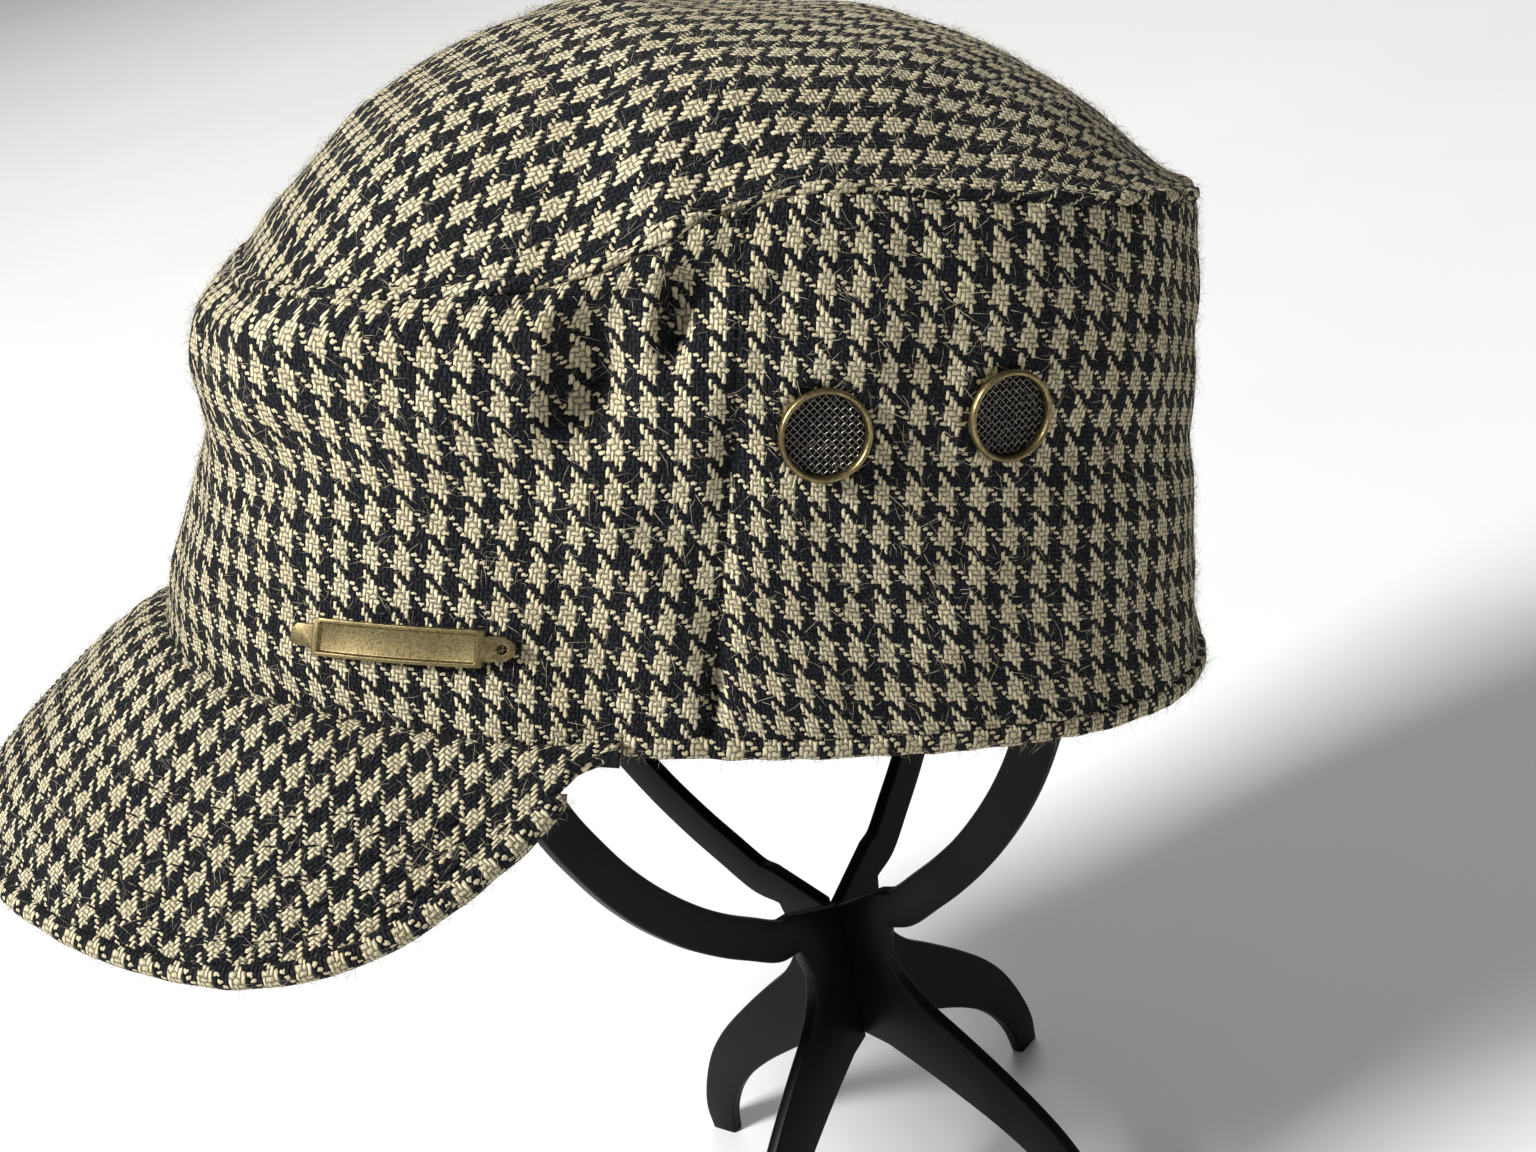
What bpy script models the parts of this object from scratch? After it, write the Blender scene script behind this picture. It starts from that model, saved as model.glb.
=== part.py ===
"""A houndstooth cadet cap, tipped back on a plain slotted hat stand.

Metres, +Z up, the peak towards -Y and the wearer's left towards +X. The origin is the middle of
the whole thing's box, at the height of the stand's soles. The cap is worked out in a frame of its
own, with its origin in the middle of the rim, and is then tipped back and lowered onto the stand.
Angles round the cap start at the front and grow towards the wearer's left.
"""

from collections import namedtuple
from math import cos, degrees, pi, radians, sin

import bmesh
import bpy
from mathutils import Matrix, Vector
from mathutils.bvhtree import BVHTree

# Sizes of the cap
RIM_LENGTH = 0.209
RIM_WIDTH = 0.164
BAND_HEIGHT = 0.095
FRONT_HEIGHT = 0.066
CROWN_HEIGHT = 0.1197
CROWN_TOP_FORWARD = 0.0246
CLOTH = 0.002
SEAM_RIDGE = 0.0012
CAP_TIP = radians(19)
SIDE_SEAM_ANGLE = radians(76.5)

# Sizes of the rim's strip, the peak and the peak's rolled edge
HEM_HEIGHT = 0.0040
HEM_DROP = 0.0012
HEM_PROUD = 0.0006
PEAK_LENGTH = 0.0548
PEAK_THICKNESS = 0.0032
PEAK_HALF_ANGLE = radians(70.4)
PEAK_SLOPE = radians(39.8)
PEAK_SIDE_SLOPE = radians(6.1)
PEAK_ARCH = radians(15.9)
PEAK_EDGE_WIDTH = 0.0040
PEAK_EDGE_THICKNESS = 0.0042

# Sizes of the fittings
VENT_DIAMETER = 0.0162
VENT_BAND = 0.0014
VENT_RISE = 0.0014
VENT_WALL = 0.0005
VENT_LEDGE = 0.0007
VENT_SPACING = 0.0328
VENT_MIDDLE_ANGLE = radians(93.6)
VENT_HEIGHT = 0.0571
VENT_STEP = 0.0032
SCREEN_THICKNESS = 0.0006
PLATE_LENGTH = 0.0405
PLATE_HEIGHT = 0.0064
PLATE_THICKNESS = 0.0016
PLATE_ANGLE = radians(44.0)
PLATE_ABOVE_RIM = 0.0143
PLATE_TURN = radians(5)
PLATE_LUG_HOLE = 0.0018

# Sizes of the stand
STAND_THICKNESS = 0.003
STAND_ROOM = 0.003
STAND_FORWARD = 0.0014
CAGE_HEIGHT = 0.195
ARM_WIDTH = 0.009
WAIST_HEIGHT = 0.0335
LEG_SPREAD = 0.058
LEG_HEIGHT = 0.078
STAND_TURN = radians(28.7)

# Pieces that touch keep this gap between them
GAP = 0.0003

# How fine the cloth's mesh is: steps round the panels, up them and out along the peak
FRONT_STEPS = 40
SIDE_STEPS = 40
BAND_STEPS = 10
PEAK_STEPS = 34
HEM_STEPS = 40
VENT_SIDES = 16

# The rim's plan: an egg, wider behind, between an ellipse and a rounded box
EGG = 0.17
ROUNDNESS = 2.15

# The band's section: height as a share of its height, then reach to the front, to the back and
# to the side as shares of half the rim's length and width
Section = namedtuple("Section", "height front back side")
BAND_SECTIONS = (
    Section(0.00, 0.995, 1.000, 1.000),
    Section(0.12, 0.985, 0.970, 0.985),
    Section(0.35, 0.950, 0.935, 0.965),
    Section(0.55, 0.925, 0.900, 0.950),
    Section(0.75, 0.950, 0.886, 0.945),
    Section(0.88, 0.945, 0.876, 0.930),
    Section(1.00, 0.881, 0.864, 0.905),
)

# The top seam: angle in degrees from the front, and how far the seam has climbed from the height
# of the front to the full height of the band
Climb = namedtuple("Climb", "angle share")
SEAM_CLIMB = (
    Climb(0, 0.00),
    Climb(30, 0.14),
    Climb(52, 0.31),
    Climb(62, 0.48),
    Climb(72, 0.79),
    Climb(84, 1.00),
    Climb(100, 0.98),
    Climb(120, 0.95),
    Climb(140, 0.90),
    Climb(180, 0.83),
)

# Dents and folds of the band: angle in degrees, height as a share of the band's height there, the
# long and the short radius and the depth as shares of the band's full height, and the turn of the
# long axis from level, in degrees. A negative depth stands out.
Dent = namedtuple("Dent", "angle height long short turn depth")
DENTS = (
    Dent(71.5, 0.86, 0.11, 0.070, 60, 0.050),
    Dent(62.0, 0.76, 0.16, 0.110, 75, 0.040),
    Dent(67.5, 0.97, 0.10, 0.050, 20, -0.022),
    Dent(61.0, 0.34, 0.22, 0.060, -52, 0.016),
    Dent(66.0, 0.42, 0.24, 0.055, -52, -0.014),
    Dent(77.5, 0.56, 0.16, 0.075, 85, 0.014),
    Dent(76.5, 0.20, 0.26, 0.030, 90, 0.012),
    Dent(122.0, 0.52, 0.20, 0.090, 15, 0.016),
    Dent(24.0, 0.62, 0.26, 0.070, 35, 0.016),
)

# The crown's rise from its seam to its top: how round its shoulder is, how late it starts to rise,
# and how far the front sags
CROWN_ROUND = 3.6
CROWN_LATE = 1.36
CROWN_FRONT_SAG = 1.30
CROWN_RINGS = (0.97, 0.90, 0.79, 0.64, 0.46, 0.24)

# The peak's reach over its half angle: it is nearly even and drops away close to the corners
PEAK_SQUARE = 6.6
PEAK_FALL_OFF = 1.56
PEAK_FAN = 0.85
PEAK_CORNER = 0.97
PEAK_EDGE_END = 0.93
PEAK_BODY_END = 0.945
PEAK_ROWS = (0.12, 0.30, 0.48, 0.66, 0.83, 1.0)
CORNER_STEP = radians(0.6)

# The stand's loop above the waist, outer edge: radius as a share of the cage's radius, and height
# above the waist as a share of the cage's height
Arm = namedtuple("Arm", "radius height")
ARM_OUTLINE = (
    Arm(0.190, -0.010),
    Arm(0.278, 0.000),
    Arm(0.380, 0.031),
    Arm(0.475, 0.062),
    Arm(0.582, 0.103),
    Arm(0.690, 0.154),
    Arm(0.778, 0.205),
    Arm(0.848, 0.256),
    Arm(0.918, 0.318),
    Arm(0.968, 0.390),
    Arm(1.000, 0.487),
    Arm(0.981, 0.605),
    Arm(0.911, 0.744),
    Arm(0.734, 0.877),
    Arm(0.430, 0.969),
    Arm(0.000, 1.000),
)

# The leg: how far out as a share of the leg's spread, and how far below the waist's top as a
# share of the leg's height, along its upper edge, its sole and its lower edge
Leg = namedtuple("Leg", "out down")
LEG_OUTLINE = (
    Leg(0.224, 0.128),
    Leg(0.259, 0.205),
    Leg(0.336, 0.282),
    Leg(0.466, 0.365),
    Leg(0.621, 0.468),
    Leg(0.767, 0.577),
    Leg(0.871, 0.679),
    Leg(0.948, 0.795),
    Leg(0.995, 0.910),
    Leg(0.991, 1.000),
    Leg(0.871, 1.000),
    Leg(0.845, 0.910),
    Leg(0.784, 0.821),
    Leg(0.690, 0.737),
    Leg(0.569, 0.660),
    Leg(0.431, 0.590),
    Leg(0.276, 0.519),
    Leg(0.121, 0.455),
)


def clear_scene():
    for thing in list(bpy.data.objects):
        bpy.data.objects.remove(thing, do_unlink=True)


def collection(name):
    made = bpy.data.collections.new(name)
    bpy.context.scene.collection.children.link(made)
    return made


def material(name, colour, roughness, metallic=0.0):
    made = bpy.data.materials.new(name)
    made.use_nodes = True
    shader = made.node_tree.nodes["Principled BSDF"]
    shader.inputs["Base Color"].default_value = (*colour, 1.0)
    shader.inputs["Roughness"].default_value = roughness
    shader.inputs["Metallic"].default_value = metallic
    made.diffuse_color = (*colour, 1.0)
    return made


def through(xs, ys, x):
    """The height at x of a smooth curve through the points, with no overshoot between them."""
    if x <= xs[0]:
        return ys[0]
    if x >= xs[-1]:
        return ys[-1]
    slopes = [(ys[i + 1] - ys[i]) / (xs[i + 1] - xs[i]) for i in range(len(xs) - 1)]
    i = max(k for k in range(len(slopes)) if xs[k] <= x)

    def tangent(k):
        if k == 0:
            return slopes[0]
        if k == len(slopes):
            return slopes[-1]
        before, after = slopes[k - 1], slopes[k]
        if before * after <= 0:
            return 0.0
        return 2 * before * after / (before + after)

    wide = xs[i + 1] - xs[i]
    u = (x - xs[i]) / wide
    start = (1 + 2 * u) * (1 - u) ** 2 * ys[i] + u * (1 - u) ** 2 * wide * tangent(i)
    end = u * u * (3 - 2 * u) * ys[i + 1] + u * u * (u - 1) * wide * tangent(i + 1)
    return start + end


def column(table, name):
    return [getattr(row, name) for row in table]


def smooth_line(points, steps):
    """Catmull-Rom points through an open line, with this many steps on each stretch."""
    line = [Vector(p) for p in points]
    ends = [line[0] * 2 - line[1]] + line + [line[-1] * 2 - line[-2]]
    out = []
    for a, b, c, d in zip(ends, ends[1:], ends[2:], ends[3:]):
        for k in range(steps):
            u = k / steps
            out.append(
                0.5 * (2 * b + (c - a) * u + (2 * a - 5 * b + 4 * c - d) * u**2 + (3 * b - a - 3 * c + d) * u**3)
            )
    out.append(line[-1])
    return out


def signed_power(value, power):
    return (abs(value) ** power) * (1 if value >= 0 else -1)


def around(angle):
    """The angle from the front, between -pi and pi."""
    return (angle + pi) % (2 * pi) - pi


def seam_height(angle):
    share = through(column(SEAM_CLIMB, "angle"), column(SEAM_CLIMB, "share"), degrees(abs(around(angle))))
    return FRONT_HEIGHT + (BAND_HEIGHT - FRONT_HEIGHT) * share


def bare_band(angle, share):
    """A point of the band's outer face without its dents, at a share of its height there."""
    heights = column(BAND_SECTIONS, "height")
    front, back, side = (through(heights, column(BAND_SECTIONS, name), share) for name in ("front", "back", "side"))
    along = -signed_power(cos(angle), 2 / ROUNDNESS)
    across = signed_power(sin(angle), 2 / ROUNDNESS) * (1 - EGG * cos(angle))
    reach = front if along < 0 else back
    return Vector((
        RIM_WIDTH / 2 * side * across,
        RIM_LENGTH / 2 * reach * along,
        share * seam_height(angle),
    ))


def outward(angle):
    """The level direction away from the rim's plan."""
    step = 0.01
    run = bare_band(angle + step, 0) - bare_band(angle - step, 0)
    return Vector((-run.y, run.x, 0)).normalized() * -1


def dent_depth(angle, share):
    here = bare_band(angle, 0.5)
    height = share * seam_height(angle)
    depth = 0.0
    for dent in DENTS:
        middle = radians(dent.angle)
        if abs(around(angle - middle)) > 1.0:
            continue
        side = -1 if around(angle - middle) < 0 else 1
        run = side * (here - bare_band(middle, 0.5)).to_2d().length
        rise = height - dent.height * seam_height(middle)
        turn = radians(dent.turn)
        along = (run * cos(turn) + rise * sin(turn)) / (dent.long * BAND_HEIGHT)
        across = (rise * cos(turn) - run * sin(turn)) / (dent.short * BAND_HEIGHT)
        depth += dent.depth * BAND_HEIGHT * 2.718 ** -(along**2 + across**2)
    return depth


def band_point(angle, share):
    return bare_band(angle, share) - outward(angle) * dent_depth(angle, share)


def on_band(angle, height, out=0.0):
    """A point at a height above the rim, moved out square to the band's face."""
    return band_point(angle, height / seam_height(angle)) + band_frame(angle, height).col[2].to_3d() * out


def band_frame(angle, height):
    """The band's face there: X along the rim, Y up the cloth, Z outward, and its place."""
    share = height / seam_height(angle)
    place = band_point(angle, share)
    run = (band_point(angle + 0.02, share) - band_point(angle - 0.02, share)).normalized()
    up = (band_point(angle, share + 0.02) - band_point(angle, share - 0.02)).normalized()
    out = run.cross(up).normalized()
    up = out.cross(run)
    frame = Matrix((run, up, out)).transposed().to_4x4()
    frame.translation = place
    return frame


def angle_along(angle, height, distance):
    """The angle that lies this far along the rim's direction from another."""
    share = height / seam_height(angle)
    pace = (band_point(angle + 0.02, share) - band_point(angle - 0.02, share)).length / 0.04
    return angle + distance / pace


def seam_edge(angle, distance):
    """A point this far past the sloping top seam, going on in the panel's own last direction."""
    top = band_point(angle, 1.0)
    low = bottom_of(angle) / seam_height(angle)
    up = (top - band_point(angle, 1 - (1 - low) / BAND_STEPS)).normalized()
    run = (band_point(angle + 0.03, 1.0) - band_point(angle - 0.03, 1.0)).normalized()
    return top + up * distance / run.cross(up).length


def crown_point(angle, part):
    """A point of the crown's outer face; part is 1 at its rim and 0 at its top."""
    edge = seam_edge(angle, GAP + SEAM_RIDGE)
    x = edge.x * part
    y = -CROWN_TOP_FORWARD + (edge.y + CROWN_TOP_FORWARD) * part
    rise = (1 - part**CROWN_ROUND) ** CROWN_LATE
    forward = max(-1.0, min(1.0, -y / (RIM_LENGTH * 0.43)))
    rise *= 1 - CROWN_FRONT_SAG * forward * part * (1 - part)
    return Vector((x, y, edge.z + (CROWN_HEIGHT - edge.z) * rise))


def add_object(name, mesh, finish, home):
    made = bpy.data.objects.new(name, mesh)
    mesh.materials.append(finish)
    home.objects.link(made)
    return made


def shade(mesh, angle=40):
    mesh.shade_smooth()
    mesh.set_sharp_from_angle(angle=radians(angle))


def sheet_mesh(name, rows, closed=False, top=None):
    """An open surface through rows of points; closed rows meet, and top is a point above the last."""
    mesh = bpy.data.meshes.new(name)
    bm = bmesh.new()
    lines = [[bm.verts.new(p) for p in row] for row in rows]
    wide = len(rows[0])
    spans = wide if closed else wide - 1
    for low, high in zip(lines, lines[1:]):
        for k in range(spans):
            n = (k + 1) % wide
            bm.faces.new((low[k], low[n], high[n], high[k]))
    if top is not None:
        tip = bm.verts.new(top)
        for k in range(spans):
            bm.faces.new((lines[-1][k], lines[-1][(k + 1) % wide], tip))
    bm.to_mesh(mesh)
    bm.free()
    shade(mesh)
    return mesh


def thicken(made, thickness):
    """Gives an open surface a wall on its inner side."""
    wall = made.modifiers.new("wall", "SOLIDIFY")
    wall.thickness = thickness
    wall.offset = -1
    wall.use_even_offset = True
    wall.use_quality_normals = True


def swept_mesh(name, frames, section):
    """A solid strip: a closed section, counter-clockwise, carried along frames, with flat ends."""
    mesh = bpy.data.meshes.new(name)
    bm = bmesh.new()
    rings = [[bm.verts.new(f @ Vector((a, b, 0))) for a, b in section] for f in frames]
    wide = len(section)
    for near, far in zip(rings, rings[1:]):
        for k in range(wide):
            n = (k + 1) % wide
            bm.faces.new((near[k], near[n], far[n], far[k]))
    bm.faces.new(list(reversed(rings[0])))
    bm.faces.new(rings[-1])
    bmesh.ops.recalc_face_normals(bm, faces=bm.faces)
    bm.to_mesh(mesh)
    bm.free()
    shade(mesh)
    return mesh


def rounded_section(width, height, corner):
    """An eight-sided section about its middle, with its corners taken off."""
    a, b = width / 2, height / 2
    return [
        (a, -b + corner), (a, b - corner), (a - corner, b), (-a + corner, b),
        (-a, b - corner), (-a, -b + corner), (-a + corner, -b), (a - corner, -b),
    ]


def bottom_of(angle):
    """The height of a panel's lower edge: at the peak it ends on the rim, elsewhere on the hem."""
    past = 1 + (abs(around(angle)) - peak_end()) / CORNER_STEP
    return (HEM_HEIGHT - HEM_DROP + GAP) * max(0.0, min(1.0, past))


def evenly(first, last, steps):
    return [first + (last - first) * k / steps for k in range(steps + 1)]


def panel(name, angles, finish, home):
    """One cloth panel of the side band over these angles."""
    rows = []
    for level in range(BAND_STEPS + 1):
        row = []
        for angle in angles:
            low = bottom_of(angle) / seam_height(angle)
            row.append(band_point(angle, low + (1 - low) * level / BAND_STEPS))
        rows.append(row)
    made = add_object(name, sheet_mesh(name, rows), finish, home)
    thicken(made, CLOTH)
    return made


def peak_end():
    """The angle at which the peak's corner meets the rim."""
    return PEAK_HALF_ANGLE * PEAK_CORNER


def half_gap_angle(angle):
    pace = (bare_band(angle + 0.01, 0.5) - bare_band(angle - 0.01, 0.5)).length / 0.02
    return GAP / 2 / pace


def front_angles():
    """The front panel's columns, with a close pair at the peak's corners and at the side seams."""
    edge = SIDE_SEAM_ANGLE - half_gap_angle(SIDE_SEAM_ANGLE)
    past_corner = evenly(peak_end(), edge - CORNER_STEP, 2) + [edge]
    before_corner = peak_end() - CORNER_STEP
    ahead = evenly(-before_corner, before_corner, FRONT_STEPS - 8)
    return [-angle for angle in reversed(past_corner)] + ahead + past_corner


def back_angles():
    edge = SIDE_SEAM_ANGLE + half_gap_angle(SIDE_SEAM_ANGLE)
    middle = evenly(edge + CORNER_STEP, 2 * pi - edge - CORNER_STEP, SIDE_STEPS - 2)
    return [edge] + middle + [2 * pi - edge]


def front_panel(finish, home):
    return panel("front_panel", front_angles(), finish, home)


def side_back_panel(finish, home, cutters):
    made = panel("side_back_panel", back_angles(), finish, home)
    for number, frame in enumerate(vent_frames(), 1):
        bpy.ops.mesh.primitive_cylinder_add(
            vertices=VENT_SIDES,
            radius=VENT_DIAMETER / 2 - VENT_BAND + VENT_WALL + GAP,
            depth=CLOTH * 6,
        )
        cutter = bpy.context.object
        cutter.name = f"vent_hole_{number}"
        cutter.data.transform(frame)
        cutter.hide_render = True
        cutter.display_type = "WIRE"
        for other in list(cutter.users_collection):
            other.objects.unlink(cutter)
        cutters.objects.link(cutter)
        cut = made.modifiers.new(f"hole_{number}", "BOOLEAN")
        cut.operation = "DIFFERENCE"
        cut.object = cutter
    return made


def crown_top(finish, home):
    """The top panel: a short edge that goes on from the panels, and the dome over it."""
    angles = front_angles() + back_angles()[1:-1]
    rows = [[seam_edge(a, GAP) for a in angles], [seam_edge(a, GAP + SEAM_RIDGE) for a in angles]]
    rows += [[crown_point(a, part) for a in angles] for part in CROWN_RINGS]
    mesh = sheet_mesh("crown_top", rows, closed=True, top=crown_point(0, 0))
    made = add_object("crown_top", mesh, finish, home)
    thicken(made, CLOTH)
    return made


def hem_binding(finish, home):
    """The rolled strip along the rim, round the back between the peak's corners."""
    first = peak_end() + 2 * half_gap_angle(peak_end())
    section = rounded_section(CLOTH + 2 * HEM_PROUD, HEM_HEIGHT, HEM_PROUD)
    frames = []
    for k in range(HEM_STEPS + 1):
        angle = first + (2 * pi - 2 * first) * k / HEM_STEPS
        out = outward(angle)
        run = Vector((0, 0, 1)).cross(out)
        frame = Matrix((out, Vector((0, 0, 1)), run)).transposed().to_4x4()
        frame.translation = band_point(angle, 0) - out * (CLOTH / 2) + Vector((0, 0, HEM_HEIGHT / 2 - HEM_DROP))
        frames.append(frame)
    return add_object("hem_binding", swept_mesh("hem_binding", frames, section), finish, home)


def peak_reach(place):
    """How far the peak stands out, over its width from -1 to 1."""
    return PEAK_LENGTH * (1 - abs(place) ** PEAK_SQUARE) ** PEAK_FALL_OFF


def peak_point(place, distance):
    """A point of the peak's upper face, this far out from the rim."""
    angle = place * PEAK_HALF_ANGLE
    share = distance / PEAK_LENGTH
    slope = PEAK_SLOPE + PEAK_SIDE_SLOPE * place**2 + PEAK_ARCH * (share - 0.5)
    away = Vector((sin(angle * PEAK_FAN), -cos(angle * PEAK_FAN), 0)) * cos(slope)
    start = band_point(angle, 0.03)
    return start + (away - Vector((0, 0, sin(slope)))) * distance


def peak_edge_frame(place):
    """The peak's edge there: X outward and square to it, Y up, Z along it, and its upper corner."""
    tip = peak_point(place, peak_reach(place))
    step = 0.01
    after = peak_point(place + step, peak_reach(place + step))
    before = peak_point(place - step, peak_reach(place - step))
    run = (after - before).normalized()
    radial = (tip - peak_point(place, peak_reach(place) * 0.9)).normalized()
    up = radial.cross(run).normalized()
    if up.z < 0:
        up.negate()
    out = run.cross(up)
    if out.dot(radial) < 0:
        out.negate()
    frame = Matrix((out, up, run)).transposed().to_4x4()
    frame.translation = tip
    return frame


def peak_body_end(place):
    """Where the body ends, as place and distance: in from the edge by the rolled edge's width."""
    share = (PEAK_CORNER - abs(place)) / (PEAK_CORNER - PEAK_BODY_END)
    inset = (PEAK_EDGE_WIDTH + GAP) * max(0.0, min(1.0, share))
    reach = peak_reach(place)
    step = 0.001
    far = (peak_point(place, reach) - peak_point(place, reach * (1 - step))) / (reach * step)
    wide = (peak_point(place + step, reach) - peak_point(place - step, reach)) / (2 * step)
    back = peak_edge_frame(place).col[0].to_3d() * -inset
    face = wide.cross(far)
    moved_place = back.cross(far).dot(face) / face.length_squared
    moved_reach = wide.cross(back).dot(face) / face.length_squared
    return place + moved_place, reach + moved_reach


def peak(finish, home):
    """The peak's stiff body, with a lip under the front panel and its end clear of the rolled edge."""
    places = [-PEAK_CORNER] + evenly(-PEAK_BODY_END, PEAK_BODY_END, PEAK_STEPS - 2) + [PEAK_CORNER]
    lip = Vector((0, 0, -GAP))
    roots = [p * PEAK_HALF_ANGLE for p in places]
    rows = [
        [band_point(angle, 0) - outward(angle) * CLOTH + lip for angle in roots],
        [band_point(angle, 0) + lip for angle in roots],
    ]
    ends = [peak_body_end(p) for p in places]
    for share in PEAK_ROWS:
        rows.append([peak_point(p + (end - p) * share, far * share) for p, (end, far) in zip(places, ends)])
    rows = [list(reversed(row)) for row in rows]
    made = add_object("peak", sheet_mesh("peak", rows), finish, home)
    thicken(made, PEAK_THICKNESS)
    return made


def peak_edge_binding(finish, home):
    """The rolled edge, carried along the end of the peak."""
    section = rounded_section(PEAK_EDGE_WIDTH, PEAK_EDGE_THICKNESS, PEAK_EDGE_THICKNESS * 0.28)
    middle = Matrix.Translation((-PEAK_EDGE_WIDTH / 2, -PEAK_THICKNESS / 2, 0))
    frames = [peak_edge_frame(p) @ middle for p in evenly(-PEAK_EDGE_END, PEAK_EDGE_END, PEAK_STEPS)]
    return add_object("peak_edge_binding", swept_mesh("peak_edge_binding", frames, section), finish, home)


def vent_frames():
    """The four vents' places: a pair on the wearer's left and its mirror on the right."""
    frames = []
    for side in (1, -1):
        for end in (-1, 1):
            height = VENT_HEIGHT + end * VENT_STEP / 2
            angle = side * angle_along(VENT_MIDDLE_ANGLE, VENT_HEIGHT, end * VENT_SPACING / 2)
            frames.append(band_frame(angle, height))
    return frames


def vent_seat():
    """How far the flange stands off, so that its flat ring clears the curved cloth."""
    middle = VENT_MIDDLE_ANGLE
    a, b, c = (bare_band(middle + step, 0.6).to_2d() for step in (-0.1, 0, 0.1))
    chord = (c - a).length
    sagitta = (b - (a + c) / 2).length
    radius = chord**2 / (8 * sagitta)
    return GAP + 1.4 * (VENT_DIAMETER / 2) ** 2 / (2 * radius)


def vent_ring_mesh():
    """An eyelet: a rolled flange, a barrel through the cloth and a ledge for the screen."""
    outer = VENT_DIAMETER / 2
    inner = outer - VENT_BAND
    seat = vent_seat()
    low = -CLOTH - 2 * VENT_WALL
    ledge = seat
    top = seat + VENT_RISE
    profile = [
        (outer - VENT_BAND * 0.30, top),
        (outer, top - VENT_RISE * 0.45),
        (outer, seat),
        (inner + VENT_WALL, seat),
        (inner + VENT_WALL, low),
        (inner - VENT_LEDGE, low),
        (inner - VENT_LEDGE, ledge),
        (inner, ledge),
        (inner, top - VENT_RISE * 0.35),
        (outer - VENT_BAND * 0.70, top),
    ]
    mesh = bpy.data.meshes.new("vent_ring")
    bm = bmesh.new()
    corners = [bm.verts.new((r, 0, z)) for r, z in profile]
    for k, corner in enumerate(corners):
        bm.edges.new((corner, corners[(k + 1) % len(corners)]))
    bm.to_mesh(mesh)
    bm.free()
    return mesh


def vent_rings(finish, home):
    mesh = vent_ring_mesh()
    mesh.materials.append(finish)
    made = []
    for number, frame in enumerate(vent_frames(), 1):
        ring = bpy.data.objects.new(f"vent_ring_{number}", mesh)
        ring.matrix_local = frame
        home.objects.link(ring)
        turn = ring.modifiers.new("turn", "SCREW")
        turn.steps = VENT_SIDES
        turn.render_steps = VENT_SIDES
        turn.use_merge_vertices = True
        turn.merge_threshold = 0.0001
        turn.use_smooth_shade = False
        made.append(ring)
    return made


def vent_screens(finish, home):
    """The wire discs, each resting on its eyelet's ledge."""
    made = []
    radius = VENT_DIAMETER / 2 - VENT_BAND - GAP
    for number, frame in enumerate(vent_frames(), 1):
        bpy.ops.mesh.primitive_cylinder_add(vertices=VENT_SIDES, radius=radius, depth=SCREEN_THICKNESS)
        disc = bpy.context.object
        disc.name = f"vent_screen_{number}"
        disc.data.name = disc.name
        disc.data.materials.append(finish)
        for other in list(disc.users_collection):
            other.objects.unlink(disc)
        home.objects.link(disc)
        disc.matrix_local = frame @ Matrix.Translation((0, 0, vent_seat() + GAP + SCREEN_THICKNESS / 2))
        made.append(disc)
    return made


# The name plate along its length: place as a share of its length from the middle, half height as
# a share of half its height, and how high its field is as a share of its thickness
Station = namedtuple("Station", "place half field")
PLATE_STATIONS = (
    Station(-0.500, 0.28, 0.80),
    Station(-0.470, 0.60, 0.80),
    Station(-0.380, 0.60, 0.80),
    Station(-0.374, 1.00, 1.00),
    Station(-0.350, 1.00, 1.00),
    Station(-0.342, 1.00, 0.60),
    Station(-0.171, 1.00, 0.60),
    Station(0.000, 1.00, 0.60),
    Station(0.171, 1.00, 0.60),
    Station(0.342, 1.00, 0.60),
    Station(0.350, 1.00, 1.00),
    Station(0.374, 1.00, 1.00),
    Station(0.380, 0.66, 0.80),
    Station(0.450, 0.66, 0.80),
    Station(0.482, 0.50, 0.80),
    Station(0.500, 0.26, 0.80),
)
PLATE_BORDER = (-1.0, -0.80, -0.72, 0.72, 0.80, 1.0)


def plate_spot(x, y):
    """The angle and the height above the rim of a point of the turned plate."""
    along = x * cos(PLATE_TURN) - y * sin(PLATE_TURN)
    up = x * sin(PLATE_TURN) + y * cos(PLATE_TURN)
    pace = angle_along(PLATE_ANGLE, PLATE_ABOVE_RIM, 1.0) - PLATE_ANGLE
    return PLATE_ANGLE + pace * along, PLATE_ABOVE_RIM + up


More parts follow.
